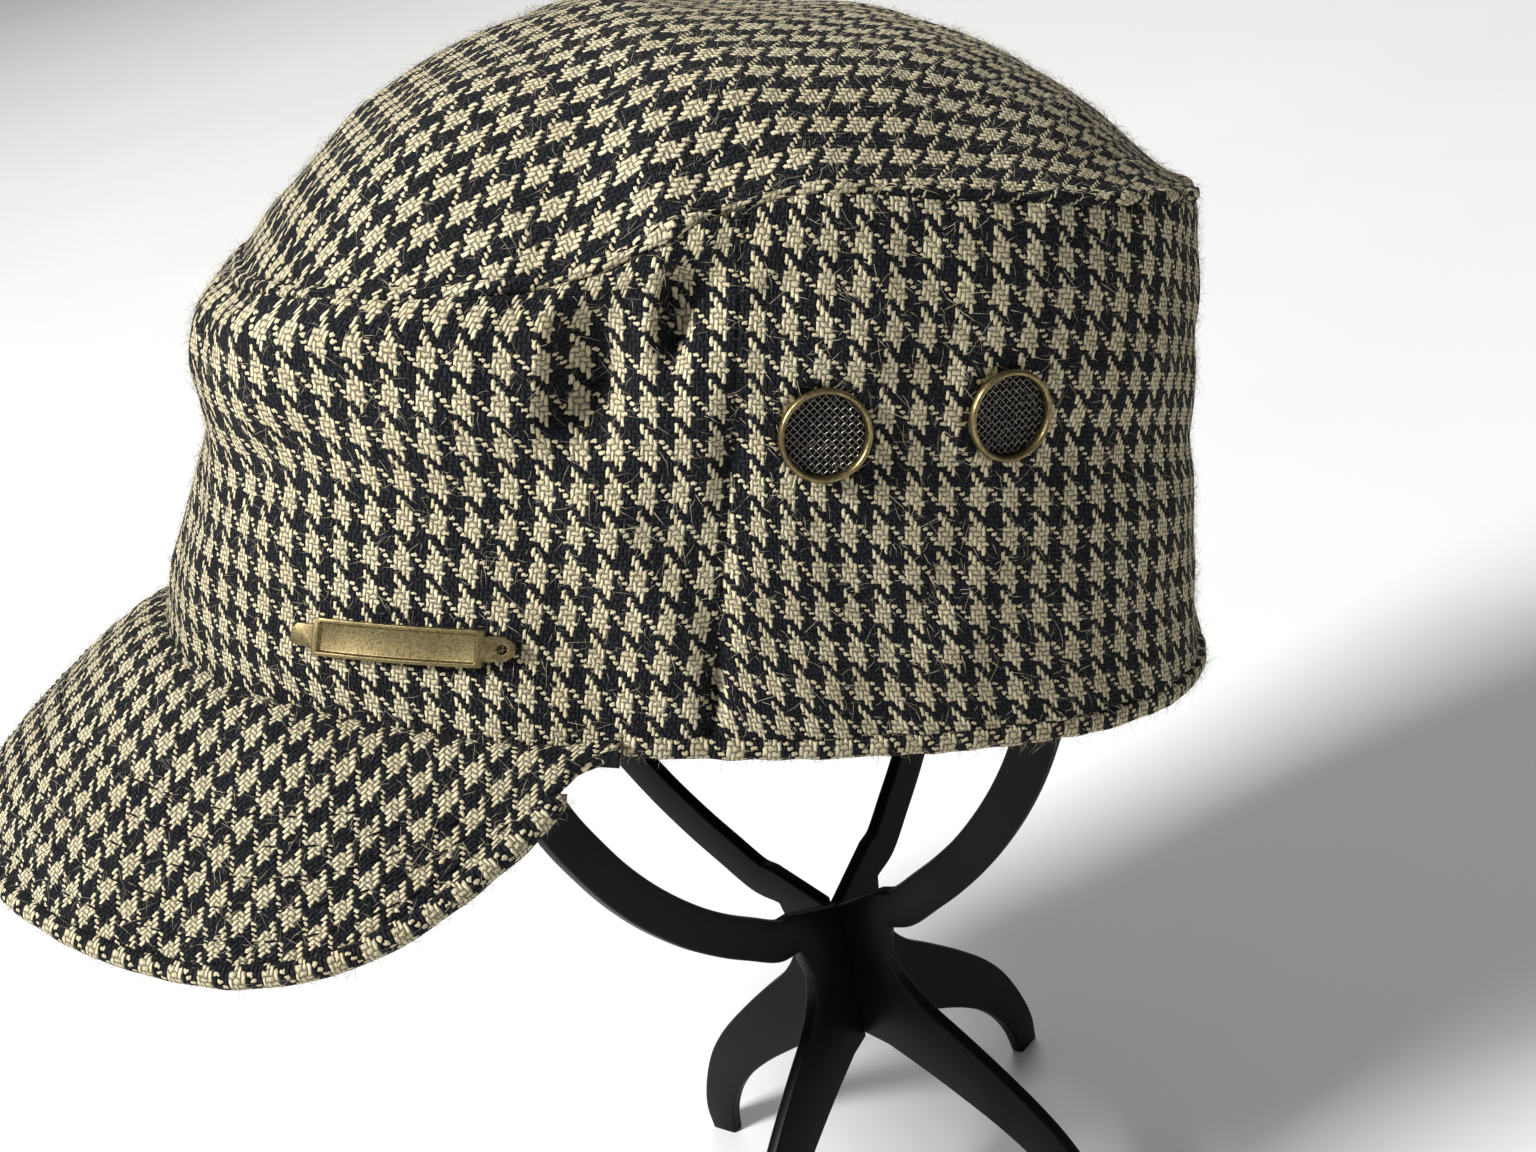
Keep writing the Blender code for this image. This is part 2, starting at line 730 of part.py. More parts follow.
def name_plate(finish, home, cutters):
    """A bare plate with a raised border and a lug at each end, bent to the cap's curve."""

    def place(x, y, z):
        return on_band(*plate_spot(x, y), z)

    bm = bmesh.new()
    tops, bases = [], []
    for station in PLATE_STATIONS:
        top, base = [], []
        for part in PLATE_BORDER:
            x = station.place * PLATE_LENGTH
            y = station.half * part * PLATE_HEIGHT / 2
            edge = 1.0 if station.field >= 0.6 and station.half == 1.0 else station.field
            rise = PLATE_THICKNESS * (edge if abs(part) >= 0.8 else station.field)
            top.append(bm.verts.new(place(x, y, 2 * GAP + rise)))
            base.append(bm.verts.new(place(x, y, 2 * GAP)))
        tops.append(top)
        bases.append(base)
    wide = len(PLATE_BORDER)
    for k in range(len(PLATE_STATIONS) - 1):
        for j in range(wide - 1):
            bm.faces.new((tops[k][j], tops[k + 1][j], tops[k + 1][j + 1], tops[k][j + 1]))
            bm.faces.new((bases[k][j], bases[k][j + 1], bases[k + 1][j + 1], bases[k + 1][j]))
        for j in (0, wide - 1):
            bm.faces.new((bases[k][j], bases[k + 1][j], tops[k + 1][j], tops[k][j]))
    for k in (0, len(PLATE_STATIONS) - 1):
        for j in range(wide - 1):
            bm.faces.new((bases[k][j], tops[k][j], tops[k][j + 1], bases[k][j + 1]))
    bmesh.ops.recalc_face_normals(bm, faces=bm.faces)
    mesh = bpy.data.meshes.new("name_plate")
    bm.to_mesh(mesh)
    bm.free()
    made = add_object("name_plate", mesh, finish, home)

    bpy.ops.mesh.primitive_cylinder_add(vertices=12, radius=PLATE_LUG_HOLE / 2, depth=PLATE_THICKNESS * 6)
    drill = bpy.context.object
    drill.name = "lug_hole"
    drill.data.transform(band_frame(*plate_spot(PLATE_STATIONS[-3].place * PLATE_LENGTH, 0)))
    drill.hide_render = True
    drill.display_type = "WIRE"
    for other in list(drill.users_collection):
        other.objects.unlink(drill)
    cutters.objects.link(drill)
    hole = made.modifiers.new("lug_hole", "BOOLEAN")
    hole.operation = "DIFFERENCE"
    hole.object = drill
    return made


def cage_radius():
    """The stand's loops stand inside the cap's rim with some room."""
    return RIM_WIDTH / 2 - STAND_ROOM


def arm_points():
    rows = [(cage_radius() * row.radius, CAGE_HEIGHT * row.height) for row in ARM_OUTLINE]
    return [p.to_2d() for p in smooth_line([(r, h, 0) for r, h in rows], 2)]


def leg_points():
    rows = [(LEG_SPREAD * row.out, -LEG_HEIGHT * row.down) for row in LEG_OUTLINE]
    sole = next(k for k, row in enumerate(LEG_OUTLINE) if row.down == 1.0)
    upper = smooth_line([(r, h, 0) for r, h in rows[: sole + 1]], 2)
    lower = smooth_line([(r, h, 0) for r, h in rows[sole + 1:]], 2)
    return [p.to_2d() for p in upper + lower]


def loop_points(arms):
    """The inner edge of the loop: the outer edge moved in by the arm's width, from the waist up."""
    inner = []
    for before, here, after in zip(arms, arms[1:], arms[2:]):
        run = (after - before).normalized()
        moved = here + Vector((-run.y, run.x)) * ARM_WIDTH
        if moved.x > ARM_WIDTH * 0.9 and moved.y > 0:
            inner.append(moved)
    return [Vector((0, 0))] + inner + [Vector((0, CAGE_HEIGHT - ARM_WIDTH))]


def mirrored(half):
    """A closed outline from its right half, whose first and last points may lie on the axis."""
    left = [Vector((-p.x, p.y)) for p in reversed(half) if abs(p.x) > 1e-6]
    return list(half) + left


def stand_outlines():
    arms = arm_points()
    bottom = [Vector((0, -WAIST_HEIGHT))]
    outer = list(reversed(arms)) + leg_points() + bottom
    return mirrored(outer), mirrored(loop_points(arms))


def plate_mesh(name, outlines):
    """A flat plate with a hole, from 2D outlines, upright in the XZ plane."""
    curve = bpy.data.curves.new(name, "CURVE")
    curve.dimensions = "2D"
    curve.fill_mode = "BOTH"
    curve.extrude = STAND_THICKNESS / 2
    for outline in outlines:
        spline = curve.splines.new("POLY")
        spline.points.add(len(outline) - 1)
        for point, (x, y) in zip(spline.points, outline):
            point.co = (x, y, 0, 1)
        spline.use_cyclic_u = True
    flat = bpy.data.objects.new(name, curve)
    bpy.context.scene.collection.objects.link(flat)
    ready = flat.evaluated_get(bpy.context.evaluated_depsgraph_get())
    mesh = bpy.data.meshes.new_from_object(ready)
    bpy.data.objects.remove(flat)
    bm = bmesh.new()
    bm.from_mesh(mesh)
    bmesh.ops.remove_doubles(bm, verts=bm.verts, dist=0.00001)
    bmesh.ops.rotate(bm, verts=bm.verts, cent=(0, 0, 0), matrix=Matrix.Rotation(pi / 2, 3, "X"))
    bmesh.ops.translate(bm, verts=bm.verts, vec=(0, 0, LEG_HEIGHT))
    bmesh.ops.recalc_face_normals(bm, faces=bm.faces)
    bm.to_mesh(mesh)
    bm.free()
    mesh.name = name
    return mesh


def slot_cutter(name, low, high, turn, cutters):
    """A box as wide as the other plate and its clearance, over part of a crossing's height."""
    bpy.ops.mesh.primitive_cube_add(size=1, location=(0, 0, 0))
    box = bpy.context.object
    box.name = name
    size = Matrix.Diagonal((STAND_THICKNESS + 2 * GAP, STAND_THICKNESS * 4, high - low, 1))
    box.data.transform(Matrix.Rotation(turn, 4, "Z") @ Matrix.Translation((0, 0, (low + high) / 2)) @ size)
    box.hide_render = True
    box.display_type = "WIRE"
    for other in list(box.users_collection):
        other.objects.unlink(box)
    cutters.objects.link(box)
    return box


def stand_plate(name, turn, upper, finish, home, cutters):
    """One plate; its slots are in the upper or the lower half of each crossing."""
    mesh = plate_mesh(name, stand_outlines())
    mesh.transform(Matrix.Rotation(turn, 4, "Z"))
    made = add_object(name, mesh, finish, home)
    crossings = (
        (LEG_HEIGHT - WAIST_HEIGHT, LEG_HEIGHT),
        (LEG_HEIGHT + CAGE_HEIGHT - ARM_WIDTH, LEG_HEIGHT + CAGE_HEIGHT),
    )
    for number, (low, high) in enumerate(crossings, 1):
        middle = (low + high) / 2
        past = STAND_THICKNESS
        span = (middle - GAP / 2, high + past) if upper else (low - past, middle + GAP / 2)
        cutter = slot_cutter(f"{name}_slot_{number}", *span, turn, cutters)
        cut = made.modifiers.new(f"slot_{number}", "BOOLEAN")
        cut.operation = "DIFFERENCE"
        cut.object = cutter
    return made


def tipped(point):
    return Matrix.Rotation(-CAP_TIP, 3, "X") @ point


def seat_place(crown):
    """Where the rim's middle goes, so that the crown's inner face rests on the stand's loops."""
    under_top = tipped(Vector((0, -CROWN_TOP_FORWARD, CROWN_HEIGHT - CLOTH)))
    shift = Vector((0, STAND_FORWARD - under_top.y, 0))
    ready = crown.evaluated_get(bpy.context.evaluated_depsgraph_get())
    shell = ready.to_mesh()
    corners = [tipped(v.co) + shift for v in shell.vertices]
    tree = BVHTree.FromPolygons(corners, [tuple(p.vertices) for p in shell.polygons])
    ready.to_mesh_clear()
    lowest = 0.0
    for turn in (STAND_TURN, STAND_TURN + pi / 2):
        for side in (1, -1):
            for point in arm_points():
                for edge in (-1, 0, 1):
                    if point.y < CAGE_HEIGHT / 2:
                        continue
                    spot = Matrix.Rotation(turn, 3, "Z") @ Vector((side * point.x, edge * STAND_THICKNESS / 2, 0))
                    hit = tree.ray_cast(Vector((spot.x, spot.y, -1)), Vector((0, 0, 1)))[0]
                    if hit is not None:
                        lowest = max(lowest, LEG_HEIGHT + point.y - hit.z)
    return shift + Vector((0, 0, lowest + GAP))


def world_box(objects):
    graph = bpy.context.evaluated_depsgraph_get()
    corners = []
    for thing in objects:
        ready = thing.evaluated_get(graph)
        mesh = ready.to_mesh()
        corners += [ready.matrix_world @ v.co for v in mesh.vertices]
        ready.to_mesh_clear()
    low = Vector(min(c[k] for c in corners) for k in range(3))
    high = Vector(max(c[k] for c in corners) for k in range(3))
    return low, high


def main():
    clear_scene()
    home = collection("cadet_cap_on_stand")
    cutters = collection("cutters")

    cloth = material("houndstooth_cloth", (0.30, 0.27, 0.19), 0.92)
    hem_cloth = material("hem_cloth", (0.24, 0.22, 0.16), 0.92)
    brass = material("antique_brass", (0.30, 0.22, 0.10), 0.38, 1.0)
    wire = material("screen_wire", (0.10, 0.09, 0.07), 0.45, 1.0)
    black = material("satin_black", (0.012, 0.012, 0.013), 0.35)

    crown = crown_top(cloth, home)
    cap_seat = bpy.data.objects.new("cap_seat", None)
    whole = bpy.data.objects.new("whole", None)
    home.objects.link(cap_seat)
    home.objects.link(whole)
    cap_seat.parent = whole

    cap = [
        crown,
        front_panel(cloth, home),
        side_back_panel(cloth, home, cutters),
        hem_binding(hem_cloth, home),
        peak(cloth, home),
        peak_edge_binding(hem_cloth, home),
        *vent_rings(brass, home),
        *vent_screens(wire, home),
        name_plate(brass, home, cutters),
    ]
    stand = [
        stand_plate("stand_plate_a", STAND_TURN, True, black, home, cutters),
        stand_plate("stand_plate_b", STAND_TURN + pi / 2, False, black, home, cutters),
    ]

    cap_seat.matrix_local = Matrix.Translation(seat_place(crown)) @ Matrix.Rotation(-CAP_TIP, 4, "X")
    cap_cutters = [c for c in cutters.objects if "slot" not in c.name]
    for piece in cap + cap_cutters:
        piece.parent = cap_seat
    for piece in stand + [c for c in cutters.objects if "slot" in c.name]:
        piece.parent = whole
    bpy.context.view_layer.update()

    low, high = world_box(cap + stand)
    whole.location = (-(low.x + high.x) / 2, -(low.y + high.y) / 2, -low.z)
    bpy.context.view_layer.update()


main()
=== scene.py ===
"""A houndstooth cadet cap, tipped back on a plain slotted hat stand, dressed over its solids.

Angles round the cap start at the front and grow towards the wearer's left. Cloth is worked out in
the cap's own frame, with its origin in the middle of the rim, and then set on the stand.
"""

from math import cos, pi, radians, sin

import bpy
import numpy as np
from mathutils import Matrix, Quaternion, Vector


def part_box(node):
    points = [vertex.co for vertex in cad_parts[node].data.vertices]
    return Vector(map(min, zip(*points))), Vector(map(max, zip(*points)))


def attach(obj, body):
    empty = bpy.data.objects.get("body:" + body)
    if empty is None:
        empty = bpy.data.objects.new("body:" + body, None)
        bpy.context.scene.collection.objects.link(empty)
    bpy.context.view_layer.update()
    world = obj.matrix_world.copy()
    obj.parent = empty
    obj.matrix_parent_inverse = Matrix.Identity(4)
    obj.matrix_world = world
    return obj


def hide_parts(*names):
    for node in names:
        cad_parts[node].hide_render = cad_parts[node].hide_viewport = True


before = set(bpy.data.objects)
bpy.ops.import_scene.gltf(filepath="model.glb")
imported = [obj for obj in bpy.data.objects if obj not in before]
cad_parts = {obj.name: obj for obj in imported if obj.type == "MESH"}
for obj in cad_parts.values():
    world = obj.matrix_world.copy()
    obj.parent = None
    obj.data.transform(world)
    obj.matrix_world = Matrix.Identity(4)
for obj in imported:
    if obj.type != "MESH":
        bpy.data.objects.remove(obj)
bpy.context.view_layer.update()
bpy.ops.object.select_all(action="DESELECT")

# Sizes of the cap
RIM_LENGTH = 0.209
RIM_WIDTH = 0.164
BAND_HEIGHT = 0.095
FRONT_HEIGHT = 0.066
CROWN_HEIGHT = 0.1197
CROWN_TOP_FORWARD = 0.0246
CLOTH = 0.002
SHOWN_CLOTH = 0.0017
SEAM_RIDGE = 0.0012
CAP_TIP = radians(19)
SIDE_SEAM_ANGLE = radians(76.5)
CAP_PLACE = (0, 0.0150, 0.15826)
GAP = 0.0003

# Sizes of the rim's strip and the peak
HEM_HEIGHT = 0.0040
HEM_DROP = 0.0012
HEM_PROUD = 0.0006
PEAK_LENGTH = 0.0548
PEAK_THICKNESS = 0.0032
SHOWN_PEAK = 0.0030
PEAK_HALF_ANGLE = radians(70.4)
PEAK_SLOPE = radians(39.8)
PEAK_SIDE_SLOPE = radians(6.1)
PEAK_ARCH = radians(15.9)
PEAK_EDGE_WIDTH = 0.0040
PEAK_EDGE_THICKNESS = 0.0042
PEAK_SQUARE = 6.6
PEAK_FALL_OFF = 1.56
PEAK_FAN = 0.85
PEAK_CORNER = 0.97
PEAK_EDGE_END = 0.93
PEAK_BODY_END = 0.945
CORNER_STEP = radians(0.6)

# Threads: where the crown's row runs below its seam, where the peak's rows run inside its edge,
# and how long, how far apart and how thick the stitches are
CROWN_STITCH_LINE = 0.0034
PEAK_STITCH_LINES = [0.0007] + [0.0048 + 0.0056 * k for k in range(5)]
CROWN_STITCH, CROWN_STITCH_GAP = 0.0024, 0.0010
PEAK_STITCH, PEAK_STITCH_GAP = 0.0027, 0.0009
THREAD_RADIUS = 0.00018

# The fuzz: name, how many fibres, seed, shortest length and how much longer the longest is
FUZZ = (
    ("cloth_fuzz_short", 19500, 8, 0.0007, 0.0010),
    ("cloth_fuzz_long", 16000, 9, 0.0011, 0.0018),
)

# Sizes of the fittings
VENT_DIAMETER = 0.0162
VENT_BAND = 0.0014
VENT_FLANGE = 0.00112
VENT_RISE = 0.0014
VENT_WALL = 0.0005
VENT_LEDGE = 0.0003
VENT_SPACING = 0.0328
VENT_MIDDLE_ANGLE = radians(93.6)
VENT_HEIGHT = 0.0571
VENT_STEP = 0.0032
WIRE_PITCH = 0.00095
WIRE_RADIUS = 0.00011
PLATE_EDGE = 0.00022

# Sizes of the stand
STAND_THICKNESS = 0.003
CAGE_RADIUS = 0.079
CAGE_HEIGHT = 0.195
ARM_WIDTH = 0.009
WAIST_HEIGHT = 0.0335
LEG_SPREAD = 0.058
LEG_HEIGHT = 0.078
STAND_TURN = radians(28.7)
STAND_EDGE = 0.00055

# The yarns: how far apart the upright ones and the level ones lie, also on the stretched crown and
# on the peak, where they run to the front and along it
WARP_PITCH = 0.00074
WEFT_PITCH = 0.00089
CROWN_STRETCH = 1.08
PEAK_WARP_PITCH = 0.000825
PEAK_WEFT_PITCH = 0.000686

# How each piece's cloth is pulled off its straight grain, in yarns both ways: the weights of
# 1, a, b, a², ab, b², a³, a²b, ab² and b³, for places a and b on the piece
LEAN = {
    "front": (
        (-2.3, -5.3, 6.8, 3, -12.8, -5.7, 0.4, 5.7, 6.8, 0.1),
        (-0.8, -1.6, 1, -0.6, 0.5, -4.2, -1, -2.7, 5.9, 1.8),
    ),
    "side": (
        (-3.3, -4.6, -0.5, -7.2, -8.1, -5.5, 3.4, 1.7, 3.2, 3.6),
        (-3.8, 2.7, 1.4, 1, -0.4, -0.2, 1.2, 1.3, 1.1, -0.1),
    ),
    "crown": (
        (-2.9, -2.3, -18.4, -3.1, -7.1, 1.2, -2.7, 20.6, 6.4, 3.1),
        (2.6, 2.8, 16.2, -9.9, -11.6, 11.8, 5.2, 7.7, -5.3, -3.2),
    ),
    "peak": (
        (0.9, 4.8, -12.1, 2.4, -4.7, 6.6, -1.8, 4.1, -3.1, 0.7),
        (-1.3, 3.6, -0.7, 2, 4.3, -0.4, -5.3, 0.4, -1.3, -0.1),
    ),
}

# The rim's plan
EGG = 0.17
ROUNDNESS = 2.15

# The band's section: height, then reach to the front, to the back and to the side, as shares
BAND_SECTIONS = (
    (0.00, 0.995, 1.000, 1.000),
    (0.12, 0.985, 0.970, 0.985),
    (0.35, 0.950, 0.935, 0.965),
    (0.55, 0.925, 0.900, 0.950),
    (0.75, 0.950, 0.886, 0.945),
    (0.88, 0.945, 0.876, 0.930),
    (1.00, 0.881, 0.864, 0.905),
)

# The top seam: angle in degrees and how far it has climbed from the front's height to the band's
SEAM_CLIMB = (
    (0, 0.00), (30, 0.14), (52, 0.31), (62, 0.48), (72, 0.79),
    (84, 1.00), (100, 0.98), (120, 0.95), (140, 0.90), (180, 0.83),
)

# Dents and folds: angle, height share, long and short radius, turn, depth
DENTS = (
    (71.5, 0.86, 0.11, 0.070, 60, 0.050),
    (62.0, 0.76, 0.16, 0.110, 75, 0.040),
    (67.5, 0.97, 0.10, 0.050, 20, -0.022),
    (61.0, 0.34, 0.22, 0.060, -52, 0.016),
    (66.0, 0.42, 0.24, 0.055, -52, -0.014),
    (77.5, 0.56, 0.16, 0.075, 85, 0.014),
    (76.5, 0.20, 0.26, 0.030, 90, 0.012),
    (122.0, 0.52, 0.20, 0.090, 15, 0.016),
    (24.0, 0.62, 0.26, 0.070, 35, 0.016),
)

# The sharper folds by the side seam: angle, height share, half length and half width, turn and
# depth, in millimetres
CREASES = (
    (70.7, 0.835, 8.0, 2.2, 88, 4.2),
    (68.2, 0.860, 7.5, 1.9, 86, -2.1),
    (62.6, 0.775, 11.0, 6.0, 80, 6.2),
    (57.4, 0.820, 12.0, 2.8, 84, -2.1),
    (65.6, 0.800, 8.0, 2.2, 80, -0.8),
    (76.4, 0.570, 8.5, 2.4, 86, 1.4),
    (79.5, 0.835, 6.0, 2.0, 28, 1.1),
    (47.0, 0.900, 9.0, 3.0, 60, 0.9),
    (55.0, 0.360, 16.0, 3.6, 128, 1.0),
    (96.0, 0.300, 14.0, 4.5, 60, 1.0),
)

# The crown's rise
CROWN_ROUND = 3.6
CROWN_LATE = 1.36
CROWN_FRONT_SAG = 1.30

# The stand's loop and leg, as shares of its reach and its height
ARM_OUTLINE = (
    (0.190, -0.010), (0.278, 0.000), (0.380, 0.031), (0.475, 0.062), (0.582, 0.103), (0.690, 0.154),
    (0.778, 0.205), (0.848, 0.256), (0.918, 0.318), (0.968, 0.390), (1.000, 0.487), (0.981, 0.605),
    (0.911, 0.744), (0.734, 0.877), (0.430, 0.969), (0.000, 1.000),
)
LEG_UPPER = (
    (0.224, 0.128), (0.259, 0.205), (0.336, 0.282), (0.466, 0.365), (0.621, 0.468), (0.767, 0.577),
    (0.871, 0.679), (0.948, 0.795), (0.995, 0.910), (0.991, 1.000),
)
LEG_LOWER = (
    (0.871, 1.000), (0.845, 0.910), (0.784, 0.821), (0.690, 0.737), (0.569, 0.660), (0.431, 0.590),
    (0.276, 0.519), (0.121, 0.455),
)

CAP = Matrix.Translation(CAP_PLACE) @ Matrix.Rotation(-CAP_TIP, 4, "X")
CAP_TURN = np.array(CAP.to_3x3()).T


# ---------------------------------------------------------------------------------------------
# The cap's shape

def through(rows, x, pick=1):
    """A smooth curve through a table's points, with no overshoot between them."""
    xs = np.array([row[0] for row in rows], float)
    ys = np.array([row[pick] for row in rows], float)
    x = np.clip(x, xs[0], xs[-1])
    slopes = np.diff(ys) / np.diff(xs)
    flat = slopes[:-1] * slopes[1:] <= 0
    both = np.where(flat, 1, slopes[:-1] + slopes[1:])
    inner = np.where(flat, 0, 2 * slopes[:-1] * slopes[1:] / both)
    tangents = np.concatenate((slopes[:1], inner, slopes[-1:]))
    i = np.clip(np.searchsorted(xs, x, side="right") - 1, 0, len(slopes) - 1)
    wide = xs[i + 1] - xs[i]
    u = (x - xs[i]) / wide
    start = (1 + 2 * u) * (1 - u) ** 2 * ys[i] + u * (1 - u) ** 2 * wide * tangents[i]
    return start + u * u * (3 - 2 * u) * ys[i + 1] + u * u * (u - 1) * wide * tangents[i + 1]


def length(v):
    return np.sqrt((v * v).sum(-1))


def unit(v):
    return v / np.maximum(length(v), 1e-12)[..., None]


def travelled(points):
    """How far each point lies along its line, counted from the first row."""
    steps = length(np.diff(points, axis=0))
    return np.concatenate((np.zeros_like(steps[:1]), np.cumsum(steps, axis=0)))


def power(value, exponent):
    return np.sign(value) * np.abs(value) ** exponent


def around(angle):
    return (np.asarray(angle, float) + pi) % (2 * pi) - pi


def turned_axes(run, rise, turn):
    """A place's distances along and across an axis that is turned from level, in degrees."""
    turn = radians(turn)
    return run * cos(turn) + rise * sin(turn), rise * cos(turn) - run * sin(turn)


def seam_height(angle):
    share = through(SEAM_CLIMB, np.degrees(np.abs(around(angle))))
    return FRONT_HEIGHT + (BAND_HEIGHT - FRONT_HEIGHT) * share


def bare_band(angle, share):
    angle, share = np.broadcast_arrays(np.asarray(angle, float), np.asarray(share, float))
    front, back, side = (through(BAND_SECTIONS, share, k) for k in (1, 2, 3))
    along = -power(np.cos(angle), 2 / ROUNDNESS)
    across = power(np.sin(angle), 2 / ROUNDNESS) * (1 - EGG * np.cos(angle))
    reach = np.where(along < 0, front, back)
    x = RIM_WIDTH / 2 * side * across
    y = RIM_LENGTH / 2 * reach * along
    return np.stack((x, y, share * seam_height(angle)), -1)


def outward(angle):
    run = bare_band(np.asarray(angle) + 0.01, 0) - bare_band(np.asarray(angle) - 0.01, 0)
    return unit(np.stack((run[..., 1], -run[..., 0], 0 * run[..., 0]), -1))


def dent_depth(angle, share):
    here = bare_band(angle, 0.5 + 0 * share)
    height = share * seam_height(angle)
    depth = 0.0
    for middle, level, long, short, turn, deep in DENTS:
        centre = radians(middle)
        away = around(angle - centre)
        run = np.sign(away) * length((here - bare_band(centre, 0.5))[..., :2])
        rise = height - level * seam_height(centre)
        along, across = turned_axes(run, rise, turn)
        along, across = along / (long * BAND_HEIGHT), across / (short * BAND_HEIGHT)
        here_depth = deep * BAND_HEIGHT * np.exp(-(along**2 + across**2))
        depth = depth + np.where(np.abs(away) > 1, 0, here_depth)
    return depth


def band_point(angle, share):
    angle, share = np.broadcast_arrays(np.asarray(angle, float), np.asarray(share, float))
    return bare_band(angle, share) - outward(angle) * dent_depth(angle, share)[..., None]


def peak_end():
    return PEAK_HALF_ANGLE * PEAK_CORNER


def bottom_of(angle):
    past = 1 + (np.abs(around(angle)) - peak_end()) / CORNER_STEP
    return (HEM_HEIGHT - HEM_DROP + GAP) * np.clip(past, 0, 1) - 0.0009


def seam_edge(angle, distance):
    top = band_point(angle, 1.0)
    low = bottom_of(angle) / seam_height(angle)
    up = unit(top - band_point(angle, 1 - (1 - low) / 10))
    run = unit(band_point(angle + 0.03, 1.0) - band_point(angle - 0.03, 1.0))
    return top + up * (distance / length(np.cross(run, up)))[..., None]


def crown_point(angle, part):
    edge = seam_edge(angle, GAP + SEAM_RIDGE)
    x = edge[..., 0] * part
    y = -CROWN_TOP_FORWARD + (edge[..., 1] + CROWN_TOP_FORWARD) * part
    rise = (1 - part**CROWN_ROUND) ** CROWN_LATE
    forward = np.clip(-y / (RIM_LENGTH * 0.43), -1, 1)
    rise = rise * (1 - CROWN_FRONT_SAG * forward * part * (1 - part))
    return np.stack((x, y, edge[..., 2] + (CROWN_HEIGHT - edge[..., 2]) * rise), -1)


def peak_reach(place):
    return PEAK_LENGTH * (1 - np.abs(place) ** PEAK_SQUARE) ** PEAK_FALL_OFF


def peak_point(place, distance):
    place, distance = np.broadcast_arrays(np.asarray(place, float), np.asarray(distance, float))
    angle = place * PEAK_HALF_ANGLE
    slope = PEAK_SLOPE + PEAK_SIDE_SLOPE * place**2 + PEAK_ARCH * (distance / PEAK_LENGTH - 0.5)
    fan = angle * PEAK_FAN
    away = np.stack((np.sin(fan) * np.cos(slope), -np.cos(fan) * np.cos(slope), -np.sin(slope)), -1)
    return band_point(angle, 0.03) + away * distance[..., None]


def peak_tip(place):
    return peak_point(place, peak_reach(place))


def peak_edge_axes(place):
    """The peak's tip there, the direction out and square to its edge, and the direction up."""
    place = np.asarray(place, float)
    tip = peak_tip(place)
    run = unit(peak_tip(place + 0.01) - peak_tip(place - 0.01))
    radial = unit(tip - peak_point(place, peak_reach(place) * 0.9))
    up = unit(np.cross(radial, run))
    up = up * np.where(up[..., 2] < 0, -1, 1)[..., None]
    out = np.cross(run, up)
    out = out * np.where((out * radial).sum(-1) < 0, -1, 1)[..., None]
    return tip, out, up


def peak_body_end(place):
    share = (PEAK_CORNER - np.abs(place)) / (PEAK_CORNER - PEAK_BODY_END)
    inset = (PEAK_EDGE_WIDTH - 0.0010) * np.clip(share, 0, 1)
    reach = peak_reach(place)
    far = (peak_point(place, reach) - peak_point(place, reach * 0.999)) / (reach * 0.001)[..., None]
    wide = (peak_point(place + 0.001, reach) - peak_point(place - 0.001, reach)) / 0.002
    back = peak_edge_axes(place)[1] * -inset[..., None]
    face = np.cross(wide, far)
    size = (face * face).sum(-1)
    return (
        place + (np.cross(back, far) * face).sum(-1) / size,
        reach + (np.cross(wide, back) * face).sum(-1) / size,
    )


def band_frame(angle, height):
    """The band's face there: X along the rim, Y up the cloth, Z outward, in the cap's frame."""
    share = height / float(seam_height(angle))
    run = unit(band_point(angle + 0.02, share) - band_point(angle - 0.02, share))
    up = unit(band_point(angle, share + 0.02) - band_point(angle, share - 0.02))
    out = unit(np.cross(run, up))
    axes = Matrix(np.stack((run, np.cross(out, run), out)).tolist()).transposed().to_4x4()
    axes.translation = Vector(band_point(angle, share).tolist())
    return axes


def angle_along(angle, height, distance):
    share = height / float(seam_height(angle))
    pace = float(length(band_point(angle + 0.02, share) - band_point(angle - 0.02, share))) / 0.04
    return angle + distance / pace


def vent_frames():
    """The middles of the four vents: a pair on the wearer's left, then its mirror."""
    frames = []
    for side in (1, -1):
        for end in (-1, 1):
            angle = side * angle_along(VENT_MIDDLE_ANGLE, VENT_HEIGHT, end * VENT_SPACING / 2)
            frames.append(band_frame(angle, VENT_HEIGHT + end * VENT_STEP / 2))
    return frames


def vent_seat():
    """How far the flat ring stands off the band's middle, so that its rim clears the curve."""
    a, b, c = (bare_band(VENT_MIDDLE_ANGLE + step, 0.6)[:2] for step in (-0.1, 0, 0.1))
    radius = length(c - a) ** 2 / (8 * length(b - (a + c) / 2))
    return GAP + 1.4 * (VENT_DIAMETER / 2) ** 2 / (2 * float(radius))


# ---------------------------------------------------------------------------------------------
# Helpers for making pieces

ARC_ANGLES = np.linspace(-pi, 3 * pi, 4001)
ARC_LENGTHS = travelled(bare_band(ARC_ANGLES, 0.5))
ARC_LENGTHS = ARC_LENGTHS - np.interp(0, ARC_ANGLES, ARC_LENGTHS)


def arc_at(angle):
    """How far round the band's middle an angle lies from the front."""
    return np.interp(angle, ARC_ANGLES, ARC_LENGTHS)


def creased(angle, share):
    """How deep the sharper folds lie at a place on the band."""
    height = share * seam_height(angle)
    depth = 0.0
    for middle, level, long, wide, turn, deep in CREASES:
        centre = radians(middle)
        run, rise = arc_at(angle) - arc_at(centre), height - level * seam_height(centre)
        along, across = turned_axes(run, rise, turn)
        along, across = along / (long * 0.001), across / (wide * 0.001)
        depth = depth + deep * 0.001 * np.exp(-(along**2) - across**2)
    return depth


